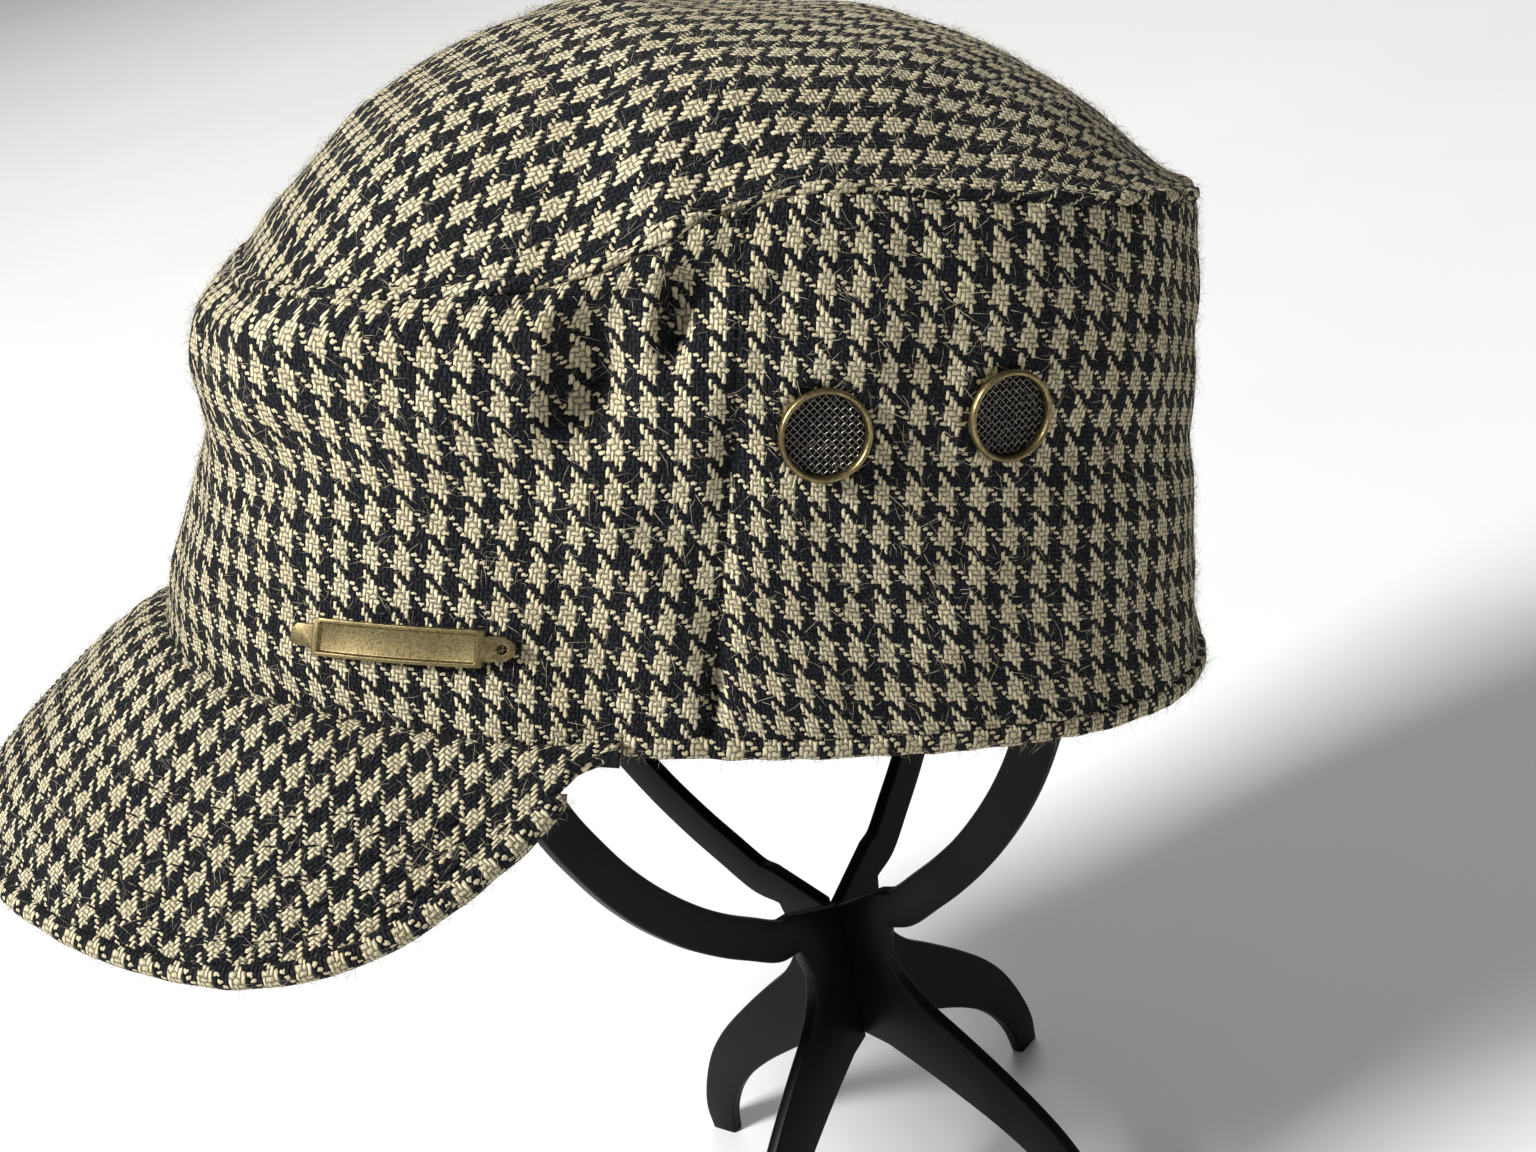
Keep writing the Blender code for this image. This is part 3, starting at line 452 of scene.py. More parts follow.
def leaning(piece, a, b):
    """How many yarns the cloth is off its straight grain at a place, both ways."""
    terms = np.stack((1 + 0 * a, a, b, a * a, a * b, b * b, a**3, a * a * b, a * b * b, b**3), -1)
    return terms @ np.array(LEAN[piece]).T


def spread(first, last, count, ends=0.6):
    """Steps from first to last that lie closer together at both ends."""
    t = np.linspace(0, 1, count)
    return first + (last - first) * (t - ends * np.sin(2 * pi * t) / (2 * pi))


def ripples(x, y, size, seed):
    """A soft, seeded unevenness of this wavelength, between about -1 and 1."""
    dice = np.random.default_rng(seed)
    total = 0.0
    for _ in range(9):
        way = dice.uniform(0, pi)
        step = 2 * pi / (size * dice.uniform(0.7, 1.7))
        total = total + np.sin(step * (x * cos(way) + y * sin(way)) + dice.uniform(0, 2 * pi))
    return total / 4.2


def rolled(distance, radius):
    """How far a cloth edge has turned in, this far from its seam."""
    d = np.clip(distance / radius, 0, 1)
    return radius * (1 - np.sqrt(np.clip(1 - (1 - d) ** 2, 0, 1)))


def groove(distance, width):
    return np.exp(-((distance / width) ** 2))


def face_out(points):
    """The outward direction of a surface given as rows of points."""
    across = np.gradient(points, axis=1)
    up = np.gradient(points, axis=0)
    return unit(np.cross(across, up))


def in_world(points):
    """Points of the cap's own frame, set on the stand."""
    return points @ CAP_TURN + np.array(CAP.translation)


def placed(name, data):
    """A new object of this data, linked to the scene."""
    made = bpy.data.objects.new(name, data)
    bpy.context.scene.collection.objects.link(made)
    return made


def grow_fuzz(skin, out, uv):
    """Notes a piece's skin, for the fuzz to grow from."""
    GROUND.append((skin, out, uv))


def grid(name, points, uv):
    """A grid primitive shaped to rows of points, with the yarn counts as its UV map."""
    rows, columns = points.shape[:2]
    bpy.ops.mesh.primitive_grid_add(x_subdivisions=columns - 1, y_subdivisions=rows - 1, size=1)
    made = bpy.context.object
    made.name = made.data.name = name
    mesh = made.data
    flat = np.empty(len(mesh.vertices) * 3)
    mesh.vertices.foreach_get("co", flat)
    flat = flat.reshape(-1, 3)
    column = np.rint((flat[:, 0] + 0.5) * (columns - 1)).astype(int)
    row = np.rint((flat[:, 1] + 0.5) * (rows - 1)).astype(int)
    mesh.vertices.foreach_set("co", points[row, column].ravel())
    layer = mesh.uv_layers[0]
    layer.name = "weave"
    corner = np.empty(len(mesh.loops), int)
    mesh.loops.foreach_get("vertex_index", corner)
    layer.data.foreach_set("uv", uv[row[corner], column[corner]].ravel())
    mesh.update()
    return made


def only(made):
    """Selects this piece alone."""
    bpy.ops.object.select_all(action="DESELECT")
    made.select_set(True)
    bpy.context.view_layer.objects.active = made


def modify(made, kind, **settings):
    """Adds a modifier and applies it."""
    only(made)
    added = made.modifiers.new("step", kind)
    for key, value in settings.items():
        setattr(added, key, value)
    bpy.ops.object.modifier_apply(modifier=added.name)


def rounded(made, width, segments, angle):
    """Rounds the edges that are sharper than this angle."""
    modify(
        made, "BEVEL", width=width, segments=segments,
        limit_method="ANGLE", angle_limit=radians(angle),
    )


def close(made, outside=True):
    """Merges a piece's seams and poles; a closed form's faces are then turned outward."""
    only(made)
    bpy.ops.object.mode_set(mode="EDIT")
    bpy.ops.mesh.select_all(action="SELECT")
    bpy.ops.mesh.remove_doubles(threshold=0.000002)
    if outside:
        bpy.ops.mesh.normals_make_consistent(inside=False)
    bpy.ops.object.mode_set(mode="OBJECT")


def smooth(made, angle=None):
    """Shades a piece smooth, all over or up to this angle between its faces."""
    only(made)
    if angle is None:
        bpy.ops.object.shade_smooth()
    else:
        bpy.ops.object.shade_smooth_by_angle(angle=radians(angle))


def dress(made, finish, slot, *nodes):
    """Gives a piece its finish, sets it on the body and lets it stand for its solids."""
    made.data.materials.clear()
    made.data.materials.append(finish)
    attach(made, "root")
    if nodes:
        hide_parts(*nodes)
    return made


def join(name, parts):
    """Makes one piece of several."""
    only(parts[0])
    for part in parts:
        part.select_set(True)
    bpy.ops.object.join()
    made = bpy.context.object
    made.name = made.data.name = name
    return made


# ---------------------------------------------------------------------------------------------
# Finishes

class Recipe:
    """A finish being mixed; each call adds one node and gives back its first output."""

    def __init__(self, name, colour, roughness, metallic=0.0):
        self.made = bpy.data.materials.new(name)
        self.made.use_nodes = True
        self.tree = self.made.node_tree
        self.shader = self.tree.nodes["Principled BSDF"]
        self.set("Base Color", (*colour, 1))
        self.set("Roughness", roughness)
        self.set("Metallic", metallic)
        self.made.diffuse_color = (*colour, 1)

    def set(self, socket, value):
        self.shader.inputs[socket].default_value = value

    def feed(self, socket, output):
        self.tree.links.new(output, self.shader.inputs[socket])

    def add(self, kind, inputs=(), **settings):
        node = self.tree.nodes.new(kind)
        for key, value in settings.items():
            setattr(node, key, value)
        for socket, value in dict(inputs).items():
            self.plug(node.inputs[socket], value)
        return node

    def plug(self, socket, value):
        if isinstance(value, bpy.types.NodeSocket):
            self.tree.links.new(value, socket)
        else:
            socket.default_value = value

    def sum(self, operation, *values):
        node = self.add("ShaderNodeMath", operation=operation)
        for socket, value in zip(node.inputs, values):
            self.plug(socket, value)
        return node.outputs[0]

    def mix(self, share, a, b):
        node = self.add("ShaderNodeMix", data_type="RGBA")
        self.plug(node.inputs[0], share)
        for socket, colour in ((6, a), (7, b)):
            self.plug(node.inputs[socket], (*colour, 1) if isinstance(colour, tuple) else colour)
        return node.outputs[2]

    def darken(self, colour, shade):
        """A colour times a grey."""
        grey = self.add("ShaderNodeCombineXYZ", {0: shade, 1: shade, 2: shade}).outputs[0]
        node = self.add("ShaderNodeMix", data_type="RGBA", blend_type="MULTIPLY")
        for socket, value in ((0, 1.0), (6, colour), (7, grey)):
            self.plug(node.inputs[socket], value)
        return node.outputs[2]

    def blend(self, share, a, b):
        node = self.add("ShaderNodeMix", data_type="FLOAT")
        for socket, value in ((0, share), (2, a), (3, b)):
            self.plug(node.inputs[socket], value)
        return node.outputs[0]

    def noise(self, place, scale, detail=2.0, **more):
        inputs = {"Vector": place, "Scale": scale, "Detail": detail}
        return self.add("ShaderNodeTexNoise", inputs, **more).outputs[0]

    def stretched(self, place, sizes, turn):
        """The same places on other scales and turned about Z."""
        return self.add("ShaderNodeMapping", {0: place, 3: sizes, 2: (0, 0, turn)}).outputs[0]

    def ramp(self, value, low, high, to_low=0.0, to_high=1.0):
        node = self.add("ShaderNodeMapRange")
        for socket, number in zip(node.inputs, (value, low, high, to_low, to_high)):
            self.plug(socket, number)
        return node.outputs[0]

    def object_place(self):
        return self.add("ShaderNodeTexCoord").outputs["Object"]

    def bump(self, height, distance, strength=1.0):
        inputs = {"Height": height, "Distance": distance, "Strength": strength}
        self.feed("Normal", self.add("ShaderNodeBump", inputs).outputs[0])


# The wool's colours: the light yarns lie between two, and so do the dark yarns' fibres
LIGHT_YARN = (0.80, 0.73, 0.51)
LIGHT_YARN_WARM = (0.67, 0.57, 0.36)
DARK_YARN = (0.003, 0.0035, 0.005)
DARK_YARN_GREY = (0.046, 0.048, 0.058)


def houndstooth(name, light=1.0):
    """A two-and-two twill of four dark and four light yarns both ways.

    The UV map counts yarns: u the upright ones, the warp, and v the level ones, the weft. The sum
    of the two counts says which yarn is on top. It shows its own colour, rises in its middle and
    dips at its ends. Where a light and a dark yarn cross, the lower one shows beside the upper.
    """
    cloth = Recipe(name, (0.30, 0.27, 0.19), 0.93)
    cloth.set("Sheen Weight", 0.03)
    cloth.set("Sheen Roughness", 0.45)
    cloth.set("Sheen Tint", (0.9, 0.86, 0.75, 1))
    cloth.set("Specular IOR Level", 0.10)
    place = cloth.object_place()
    yarns = cloth.add("ShaderNodeUVMap", uv_map="weave").outputs[0]
    split = cloth.add("ShaderNodeSeparateXYZ", {0: yarns})
    stray = cloth.noise(yarns, 0.9, 3.0)
    across = cloth.noise(yarns, 1.1, 3.0, noise_dimensions="2D")
    u = cloth.sum("ADD", split.outputs[0], cloth.ramp(stray, 0, 1, -0.50, 0.50))
    v = cloth.sum("ADD", split.outputs[1], cloth.ramp(across, 0, 1, -0.50, 0.50))
    i, j = cloth.sum("FLOOR", u), cloth.sum("FLOOR", v)
    fu, fv = cloth.sum("FRACT", u), cloth.sum("FRACT", v)
    step = cloth.sum("ADD", cloth.sum("ADD", i, j), 2.0)
    k = cloth.sum("FLOORED_MODULO", step, 4.0)
    after = cloth.sum("FLOORED_MODULO", cloth.sum("ADD", step, 1.0), 4.0)
    warp_on_top = cloth.sum("LESS_THAN", after, 1.5)
    warp_dark = cloth.sum("LESS_THAN", cloth.sum("FLOORED_MODULO", i, 8.0), 3.5)
    weft_dark = cloth.sum("LESS_THAN", cloth.sum("FLOORED_MODULO", j, 8.0), 3.5)
    mixed = cloth.sum("COMPARE", cloth.sum("ADD", warp_dark, weft_dark), 1.0, 0.5)
    on_top = cloth.blend(warp_on_top, weft_dark, warp_dark)

    def hump(value, exponent):
        """A yarn's rise over 0 to 1, nought at both ends."""
        off = cloth.sum("ABSOLUTE", cloth.sum("MULTIPLY_ADD", value, 2.0, -1.0))
        return cloth.sum("SUBTRACT", 1.0, cloth.sum("POWER", off, exponent))

    warp_along = cloth.sum("MULTIPLY", cloth.sum("ADD", after, fv), 0.5)
    weft_along = cloth.sum("MULTIPLY", cloth.sum("ADD", cloth.sum("SUBTRACT", k, 1.0), fu), 0.5)
    warp_rise = cloth.sum("MULTIPLY", hump(fu, 2.4), hump(warp_along, 4.0))
    weft_rise = cloth.sum("MULTIPLY", hump(fv, 2.0), hump(weft_along, 2.4))
    rise = cloth.blend(warp_on_top, weft_rise, warp_rise)

    shown = cloth.blend(warp_on_top, 0.55, 0.18)
    hidden = cloth.sum("MULTIPLY", mixed, cloth.sum("LESS_THAN", rise, shown))
    dark = cloth.sum("MAXIMUM", on_top, hidden)
    yarn = cloth.blend(warp_on_top, j, cloth.sum("ADD", i, 77.5))
    own = cloth.add("ShaderNodeTexWhiteNoise", {"W": yarn}, noise_dimensions="1D").outputs[0]
    patch = cloth.ramp(cloth.noise(place, 55.0, 3.0), 0.3, 0.7)
    down_warp = cloth.noise(cloth.stretched(yarns, (7.5, 2.2, 1.0), 0.30), 1.0, 3.0)
    along_weft = cloth.noise(cloth.stretched(yarns, (2.2, 7.5, 1.0), 0.30), 1.0, 3.0)
    fibre = cloth.blend(warp_on_top, along_weft, down_warp)
    light_yarn = cloth.mix(cloth.blend(0.5, own, patch), LIGHT_YARN, LIGHT_YARN_WARM)
    dark_yarn = cloth.mix(cloth.ramp(fibre, 0.42, 0.70), DARK_YARN, DARK_YARN_GREY)
    colour = cloth.mix(dark, light_yarn, dark_yarn)
    # Painted shade: the base colour is darkened where a yarn dips and in the gaps between yarns
    # (between, down to 0.15 at the bottom), and the weft floats, which lie lower, are painted 14%
    # darker (lie).
    lie = cloth.blend(warp_on_top, 0.86, 1.0)
    between = cloth.ramp(rise, 0.0, 0.62, 0.15, 1.0)
    fibre_shade = cloth.ramp(fibre, 0.25, 0.75, 0.72 * light, 1.20 * light)
    shade = cloth.sum("MULTIPLY", cloth.sum("MULTIPLY", between, fibre_shade), lie)
    cloth.feed("Base Color", cloth.darken(colour, shade))
    cloth.feed("Roughness", cloth.ramp(rise, 0, 1, 1.0, 0.86))
    height = cloth.sum("MULTIPLY", rise, lie)
    cloth.bump(cloth.sum("ADD", height, cloth.sum("MULTIPLY", fibre, 0.40)), 0.00042)
    return cloth.made


def antique_brass():
    brass = Recipe("antique_brass", (0.30, 0.22, 0.10), 0.38, 1.0)
    place = brass.object_place()
    patch = brass.ramp(brass.noise(place, 420.0, 5.0), 0.38, 0.68)
    speck = brass.ramp(brass.noise(place, 2600.0, 4.0), 0.45, 0.75)
    colour = brass.mix(patch, (0.33, 0.26, 0.125), (0.16, 0.125, 0.06))
    brass.feed("Base Color", brass.mix(speck, colour, (0.07, 0.055, 0.03)))
    brass.feed("Roughness", brass.ramp(patch, 0, 1, 0.36, 0.52))
    brass.bump(brass.noise(place, 1500.0, 5.0), 0.00002, 0.6)
    return brass.made


def screen_wire():
    wire = Recipe("screen_wire", (0.30, 0.27, 0.22), 0.34, 1.0)
    place = wire.object_place()
    patch = wire.ramp(wire.noise(place, 900.0, 4.0), 0.35, 0.7)
    wire.feed("Base Color", wire.mix(patch, (0.30, 0.28, 0.25), (0.12, 0.11, 0.10)))
    wire.feed("Roughness", wire.ramp(patch, 0, 1, 0.22, 0.36))
    return wire.made


def satin_black():
    black = Recipe("satin_black", (0.012, 0.012, 0.013), 0.36)
    black.set("Specular IOR Level", 0.09)
    place = black.object_place()
    smear = black.ramp(black.noise(place, 38.0, 4.0), 0.35, 0.7)
    dust = black.ramp(black.noise(place, 900.0, 6.0), 0.66, 0.8)
    black.feed("Base Color", black.mix(dust, (0.0035, 0.0035, 0.0038), (0.012, 0.012, 0.013)))
    black.feed("Roughness", black.ramp(smear, 0, 1, 0.32, 0.46))
    black.bump(black.noise(place, 1400.0, 3.0), 0.000012, 0.5)
    return black.made


# Black thread for the stitches; the same finish is painted shade on the strips behind the seams and
# on the discs behind the vent wires.
def thread_and_shade_black():
    thread = Recipe("thread_and_shade_black", (0.008, 0.008, 0.010), 0.85)
    thread.set("Specular IOR Level", 0.08)
    place = thread.object_place()
    twist = thread.noise(place, 2600.0, 3.0)
    thread.feed("Base Color", thread.mix(twist, (0.004, 0.004, 0.005), (0.014, 0.014, 0.017)))
    thread.bump(twist, 0.00003)
    return thread.made


def fuzz_hair():
    """Light or dark by the fibre's own u, 0 or 1."""
    hair = Recipe("fuzz_hair", (0.30, 0.27, 0.19), 0.8)
    kind = hair.add("ShaderNodeUVMap", uv_map="weave").outputs[0]
    split = hair.add("ShaderNodeSeparateXYZ", {0: kind})
    patch = hair.noise(hair.object_place(), 600.0, 2.0)
    light = hair.mix(patch, (0.68, 0.61, 0.45), (0.56, 0.48, 0.32))
    hair.feed("Base Color", hair.mix(split.outputs[0], light, (0.055, 0.055, 0.062)))
    return hair.made


def pale_floor():
    floor = Recipe("pale_floor", (0.70, 0.70, 0.69), 0.85)
    patch = floor.noise(floor.object_place(), 6.0, 3.0)
    floor.feed("Base Color", floor.mix(patch, (0.68, 0.68, 0.67), (0.74, 0.735, 0.725)))
    return floor.made


CLOTH_FINISH = houndstooth("houndstooth_cloth")
# The bindings get a copy of the same cloth, painted 8% darker all over: painted shade.
HEM_FINISH = houndstooth("hem_cloth", 0.92)
BRASS_FINISH = antique_brass()
WIRE_FINISH = screen_wire()
BLACK_FINISH = satin_black()
THREAD_AND_SHADE_FINISH = thread_and_shade_black()
HAIR_FINISH = fuzz_hair()

# What the fuzz grows from: rows of points, their outward directions and their yarn counts, in
# the order in which the pieces are made
GROUND = []


def cloth_shell(name, points, relief, uv, wall, closed=False, holes=()):
    """A cloth wall: the surface with its relief and its holes, thickened inward."""
    out = face_out(points)
    if closed:
        seam = unit(out[:, 0] + out[:, -1])
        out[:, 0] = out[:, -1] = seam
    skin = in_world(points + out * relief[..., None])
    grow_fuzz(skin, face_out(skin), uv)
    made = grid(name, skin, uv)
    if closed:
        close(made, outside=False)
    for axes in holes:
        cut_hole(made, axes, VENT_DIAMETER / 2 - VENT_BAND + VENT_WALL + GAP)
    modify(made, "SOLIDIFY", thickness=wall, offset=-1, use_quality_normals=True)
    smooth(made)
    return made


# ---------------------------------------------------------------------------------------------
# The side band

def ditch_depth(height):
    """How deep the side seam is drawn in, low on the band."""
    return 0.0030 * groove(height - 0.0105, 0.0055)


def band_relief(angle, share, first, last):
    """Rolled seams, the gathers that they pull and a soft unevenness, all small."""
    x = arc_at(angle) + 0 * share
    z = share * seam_height(angle)
    low = bottom_of(angle)
    below, above = seam_height(angle) - z, z - low
    side = np.minimum(x - arc_at(first), arc_at(last) - x)
    soft = 0.00055 * ripples(x, z, 0.024, 3) + 0.00022 * ripples(x, z, 0.009, 4)
    pulled = 1 + 1.2 * np.exp(-(((np.degrees(angle) - 68) / 9) ** 2))
    gathers = 0.00055 * pulled * ripples(x, 0.25 * z, 0.011, 5) * np.exp(-below / 0.008)
    hem_gathers = 0.00028 * ripples(x, 0.3 * z, 0.007, 6) * np.exp(-above / 0.005)
    seam_gathers = 0.00035 * ripples(0.3 * x, z, 0.010, 7) * np.exp(-side / 0.005)
    puff = 0.00035 * groove(below - 0.0035, 0.0022)
    turned = rolled(below, 0.0007) + rolled(above, 0.0008) + 0.7 * rolled(side, 0.0007)
    turned = turned + 1.1 * np.maximum(-side, 0)
    ditch = ditch_depth(z) * groove(side, 0.0014)
    gathered = soft + gathers + hem_gathers + seam_gathers
    return gathered + puff - turned - ditch - creased(angle, share)


# How far a panel of the band goes on under its neighbour, and how many rows of cells it has
SEAM_LAP = radians(0.45)
BAND_ROWS = 96

# Where each panel's lean is counted from, and the angles past which it doesn't change, in degrees
LEAN_SPANS = {"front": (40, 8, 75), "side": (100, 78, 150)}


def yarn_counts(piece, angle, share):
    """How many yarns a place lies along and up the band's cloth."""
    middle, first, last = (arc_at(radians(degrees)) for degrees in LEAN_SPANS[piece])
    x, z = arc_at(angle), share * seam_height(angle)
    a = (np.clip(x, first, last) - middle) / 0.05
    straight = np.stack((x / WARP_PITCH, z / WEFT_PITCH), -1)
    return straight + leaning(piece, a, (z - 0.045) / 0.05)


def band_panel(piece, first, last, columns, holes):
    """The panel's points, relief and yarn counts; its ends dive a little under its neighbour."""
    angle = spread(first - SEAM_LAP, last + SEAM_LAP, columns, 0.45)
    low = bottom_of(angle) / seam_height(angle)
    share = low + (1 - low) * spread(0, 1, BAND_ROWS, 0.62)[:, None]
    angle = angle + 0 * share
    points = band_point(angle, share)
    relief = band_relief(angle, share, first, last)
    uv = yarn_counts(piece, angle, share)
    for axes in holes:
        flat = (points - np.array(axes.translation)) @ np.array(axes.to_3x3())
        far = length(flat[..., :2])
        near = (far < 0.02) & (np.abs(flat[..., 2]) < 0.02)
        relief = np.where(near, relief * np.clip((far - 0.0085) / 0.006, 0, 1), relief)
    return points, relief, uv


def cut_hole(made, axes, radius):
    """Takes out the cloth inside a vent and draws the hole's edge into a true circle."""
    inverse = np.array((CAP @ axes).inverted())
    mesh = made.data
    flat = np.empty(len(mesh.vertices) * 3)
    mesh.vertices.foreach_get("co", flat)
    local = flat.reshape(-1, 3) @ inverse[:3, :3].T + inverse[:3, 3]
    inside = (np.hypot(local[:, 0], local[:, 1]) < radius) & (np.abs(local[:, 2]) < 0.01)
    only(made)
    bpy.ops.object.mode_set(mode="EDIT")
    bpy.ops.mesh.select_mode(type="VERT")
    bpy.ops.mesh.select_all(action="DESELECT")
    bpy.ops.object.mode_set(mode="OBJECT")
    mesh.vertices.foreach_set("select", inside)
    bpy.ops.object.mode_set(mode="EDIT")
    bpy.ops.mesh.delete(type="VERT")
    bpy.ops.mesh.select_non_manifold(
        extend=False, use_wire=False, use_multi_face=False,
        use_non_contiguous=False, use_verts=False,
    )
    bpy.ops.object.mode_set(mode="OBJECT")
    place = CAP @ axes
    for vertex in mesh.vertices:
        if vertex.select:
            spot = place.inverted() @ vertex.co
            if spot.to_2d().length < radius + 0.0022 and abs(spot.z) < 0.01:
                spot.xy = spot.xy.normalized() * radius
                vertex.co = place @ spot
    mesh.update()


def side_band():
    """The front panel, and the side and back in one with its four holes."""
    edge = SIDE_SEAM_ANGLE
    for node, piece, first, last, columns, holes in (
        ("front_panel", "front", -edge, edge, 260, ()),
        ("side_back_panel", "side", edge, 2 * pi - edge, 340, vent_frames()),
    ):
        points, relief, uv = band_panel(piece, first, last, columns, holes)
        made = cloth_shell(f"{node}_cloth", points, relief, uv, SHOWN_CLOTH, holes=holes)
        dress(made, CLOTH_FINISH, "houndstooth_cloth", node)


def seam_edges_painted_shade():
    """The turned-in edges behind the seams, as one soft strip each, given the black finish: painted
    shade that shows through the seam gaps.
    """
    angle = np.linspace(0, 2 * pi + 0.02, 300)
    out = outward(angle)
    up = unit(band_point(angle, 1.0) - band_point(angle, 0.94))
    lines = [(band_point(angle, 1.0) - out * 0.0023 - up * 0.0020, out, up)]
    for edge in (SIDE_SEAM_ANGLE, 2 * pi - SIDE_SEAM_ANGLE):
        share = np.linspace(0.07, 0.95, 60)
        height = share * seam_height(edge)
        side = outward(edge) + 0 * share[:, None]
        across = np.cross((0, 0, 1.0), side)
        deep = 0.0023 + ditch_depth(height) + np.maximum(creased(edge, share), 0)
        lines.append((band_point(edge, share) - side * deep[:, None], side, across))
    parts = []
    for centre, out, across in lines:
        along = np.arange(len(centre)) * 1.0
        uv = along, lambda turn: turn
        parts.append(swept("seam_shade_strip", centre, out, across, 0.0011, 0.0052, 10, uv, 0 * along))
    made = join("seam_edges_painted_shade", parts)
    dress(made, THREAD_AND_SHADE_FINISH, "hem_cloth")


# ---------------------------------------------------------------------------------------------
# The crown

def uneven_cloth(plan, *waves):
    """Soft waves over a piece's plan, each with a depth, a wavelength and a seed."""
    x, y = plan[..., 0], plan[..., 1]
    return sum(deep * ripples(x, y, long, seed) for deep, long, seed in waves)


def crown():
    """The oval top; gives back its points, the distances down them and their relief."""
    angle = np.linspace(0, 2 * pi, 361)
    parts = 1 - spread(0, 1, 68, 0.55)
    rows = [seam_edge(angle, -0.0003 + (GAP + SEAM_RIDGE + 0.0003) * k / 3) for k in range(3)]
    rows += [crown_point(angle, part) for part in parts]
    points = np.stack(rows)
    run = travelled(points)
    left = run[-1] - run
    x = arc_at(angle) + 0 * run
    inner = np.clip(left / 0.02, 0, 1)
    edge = points[0]
    way = np.arctan2(edge[:, 0], -(edge[:, 1] + CROWN_TOP_FORWARD))
    plan = np.stack((left * np.sin(way), -left * np.cos(way)), -1)
    soft = uneven_cloth(plan, (0.0006, 0.034, 13), (0.0002, 0.012, 14))
    pulled = 1 + 0.9 * np.exp(-(((np.degrees(angle) - 66) / 10) ** 2))
    gathers = 0.0006 * pulled * ripples(x, 0 * x, 0.012, 15) * np.exp(-run / 0.009)
    stitched = 0.00030 * groove(run - CROWN_STITCH_LINE, 0.0007)
    puff = 0.0003 * groove(run - 0.0018, 0.0010)
    relief = (soft + gathers) * inner + puff - stitched - rolled(run, 0.0006)
    relief[:, -1] = relief[:, 0]
    a, b = np.clip(plan[..., 0] / 0.08, -0.3, 1.1), np.clip(plan[..., 1] / 0.08, -1.2, 1.2)
    uv = plan / np.array((WARP_PITCH, WEFT_PITCH)) / CROWN_STRETCH + leaning("crown", a, b)
    made = cloth_shell("crown_top_cloth", points, relief, uv, SHOWN_CLOTH, closed=True)
    dress(made, CLOTH_FINISH, "houndstooth_cloth", "crown_top")
    return points, run, relief


# ---------------------------------------------------------------------------------------------
# The peak

def peak_surface(place, share):
    """The peak's upper face from the rim to where its rolled edge begins, with its own sag."""
    end, far = peak_body_end(place)
    start = band_point(place * PEAK_HALF_ANGLE, 0) + np.array((0, 0, -GAP))
    lift = peak_point(place, 0.0) - start
    share = share + 0 * place
    lifted = np.clip(1 - share / 0.2, 0, 1) ** 2
    return peak_point(place + (end - place) * share, far * share) - lift * lifted[..., None]


def peak_body():
    """The peak; gives back its points, their distances from the edge and their relief."""
    place = -spread(-PEAK_CORNER + 0.001, PEAK_CORNER - 0.001, 250, 0.35)
    shares = spread(0, 1, 84, 0.3)
    angle = place * PEAK_HALF_ANGLE
    lip = band_point(angle, 0) - outward(angle) * CLOTH + np.array((0, 0, -GAP))
    points = np.stack([lip] + [peak_surface(place, share) for share in shares])
    run = travelled(points)
    run = run - run[1]
    left = run[-1] - run
    reach = np.maximum(run[-1], 1e-6)
    heading = angle * PEAK_FAN * cos(PEAK_SLOPE)
    steps = length(np.diff(points[1], axis=0))
    middle = (heading[1:] + heading[:-1]) / 2
    origin = np.stack((
        np.concatenate(([0], np.cumsum(-steps * np.cos(middle)))),
        np.concatenate(([0], np.cumsum(-steps * np.sin(middle)))),
    ), -1)
    origin = origin - origin[len(origin) // 2]
    plan = origin + np.stack((np.sin(heading) * run, -np.cos(heading) * run), -1)
    soft = uneven_cloth(plan, (0.0005, 0.030, 23), (0.00018, 0.008, 24))
    quilted = sum(0.00026 * groove(left - line, 0.0009) for line in PEAK_STITCH_LINES)
    quilted = quilted * np.clip((reach - 0.03) / 0.01, 0, 1)
    pucker = 0.00050 * ripples(plan[..., 0], 0 * left, 0.0085, 25) * np.exp(-left / 0.004)
    relief = (soft + pucker) * np.clip(run / 0.004, 0, 1) - quilted - rolled(left, 0.0016)
    uv = plan / np.array((PEAK_WARP_PITCH, PEAK_WEFT_PITCH))
    uv = uv + leaning("peak", np.clip(plan[..., 0] / 0.06, 0, 1.6), (plan[..., 1] + 0.08) / 0.04)
    made = cloth_shell("peak_cloth", points, relief, uv, SHOWN_PEAK)
    dress(made, CLOTH_FINISH, "houndstooth_cloth", "peak")
    return points, left, relief


def swept(name, centre, out, up, wide, tall, sides, uv, uneven, square=0.78):
    """A soft roll carried along a line, with rounded ends: out and up span its section.

    Its UV map is given as the values along the line and as a function of the turn round it.
    """
    turn = np.linspace(0, 2 * pi, sides + 1)
    a, b = power(np.cos(turn), square), power(np.sin(turn), square)
    n = len(centre)
    taper = np.ones(n)
    taper[:4] = (0.0, 0.62, 0.88, 0.98)
    taper[-4:] = (0.98, 0.88, 0.62, 0.0)
    size = (taper * (1 + uneven))[:, None, None]
    points = centre[:, None] + size * (
        out[:, None] * (a * wide / 2)[None, :, None] + up[:, None] * (b * tall / 2)[None, :, None]
    )
    along, round_it = uv
    uv = np.stack((along[:, None] + 0 * turn, round_it(turn) + 0 * along[:, None]), -1)
    made = grid(name, in_world(points), uv)
    close(made)
    smooth(made)
    return made


def fuzz_on_strip(lines, outs, yarns, second):
    """Lets fuzz grow between two lines of a narrow roll: their yarns along it and across it."""
    counts = [np.stack((yarns, 0 * yarns + row), -1) for row in (0, second)]
    grow_fuzz(in_world(np.stack(lines)), np.stack(outs), np.stack(counts))


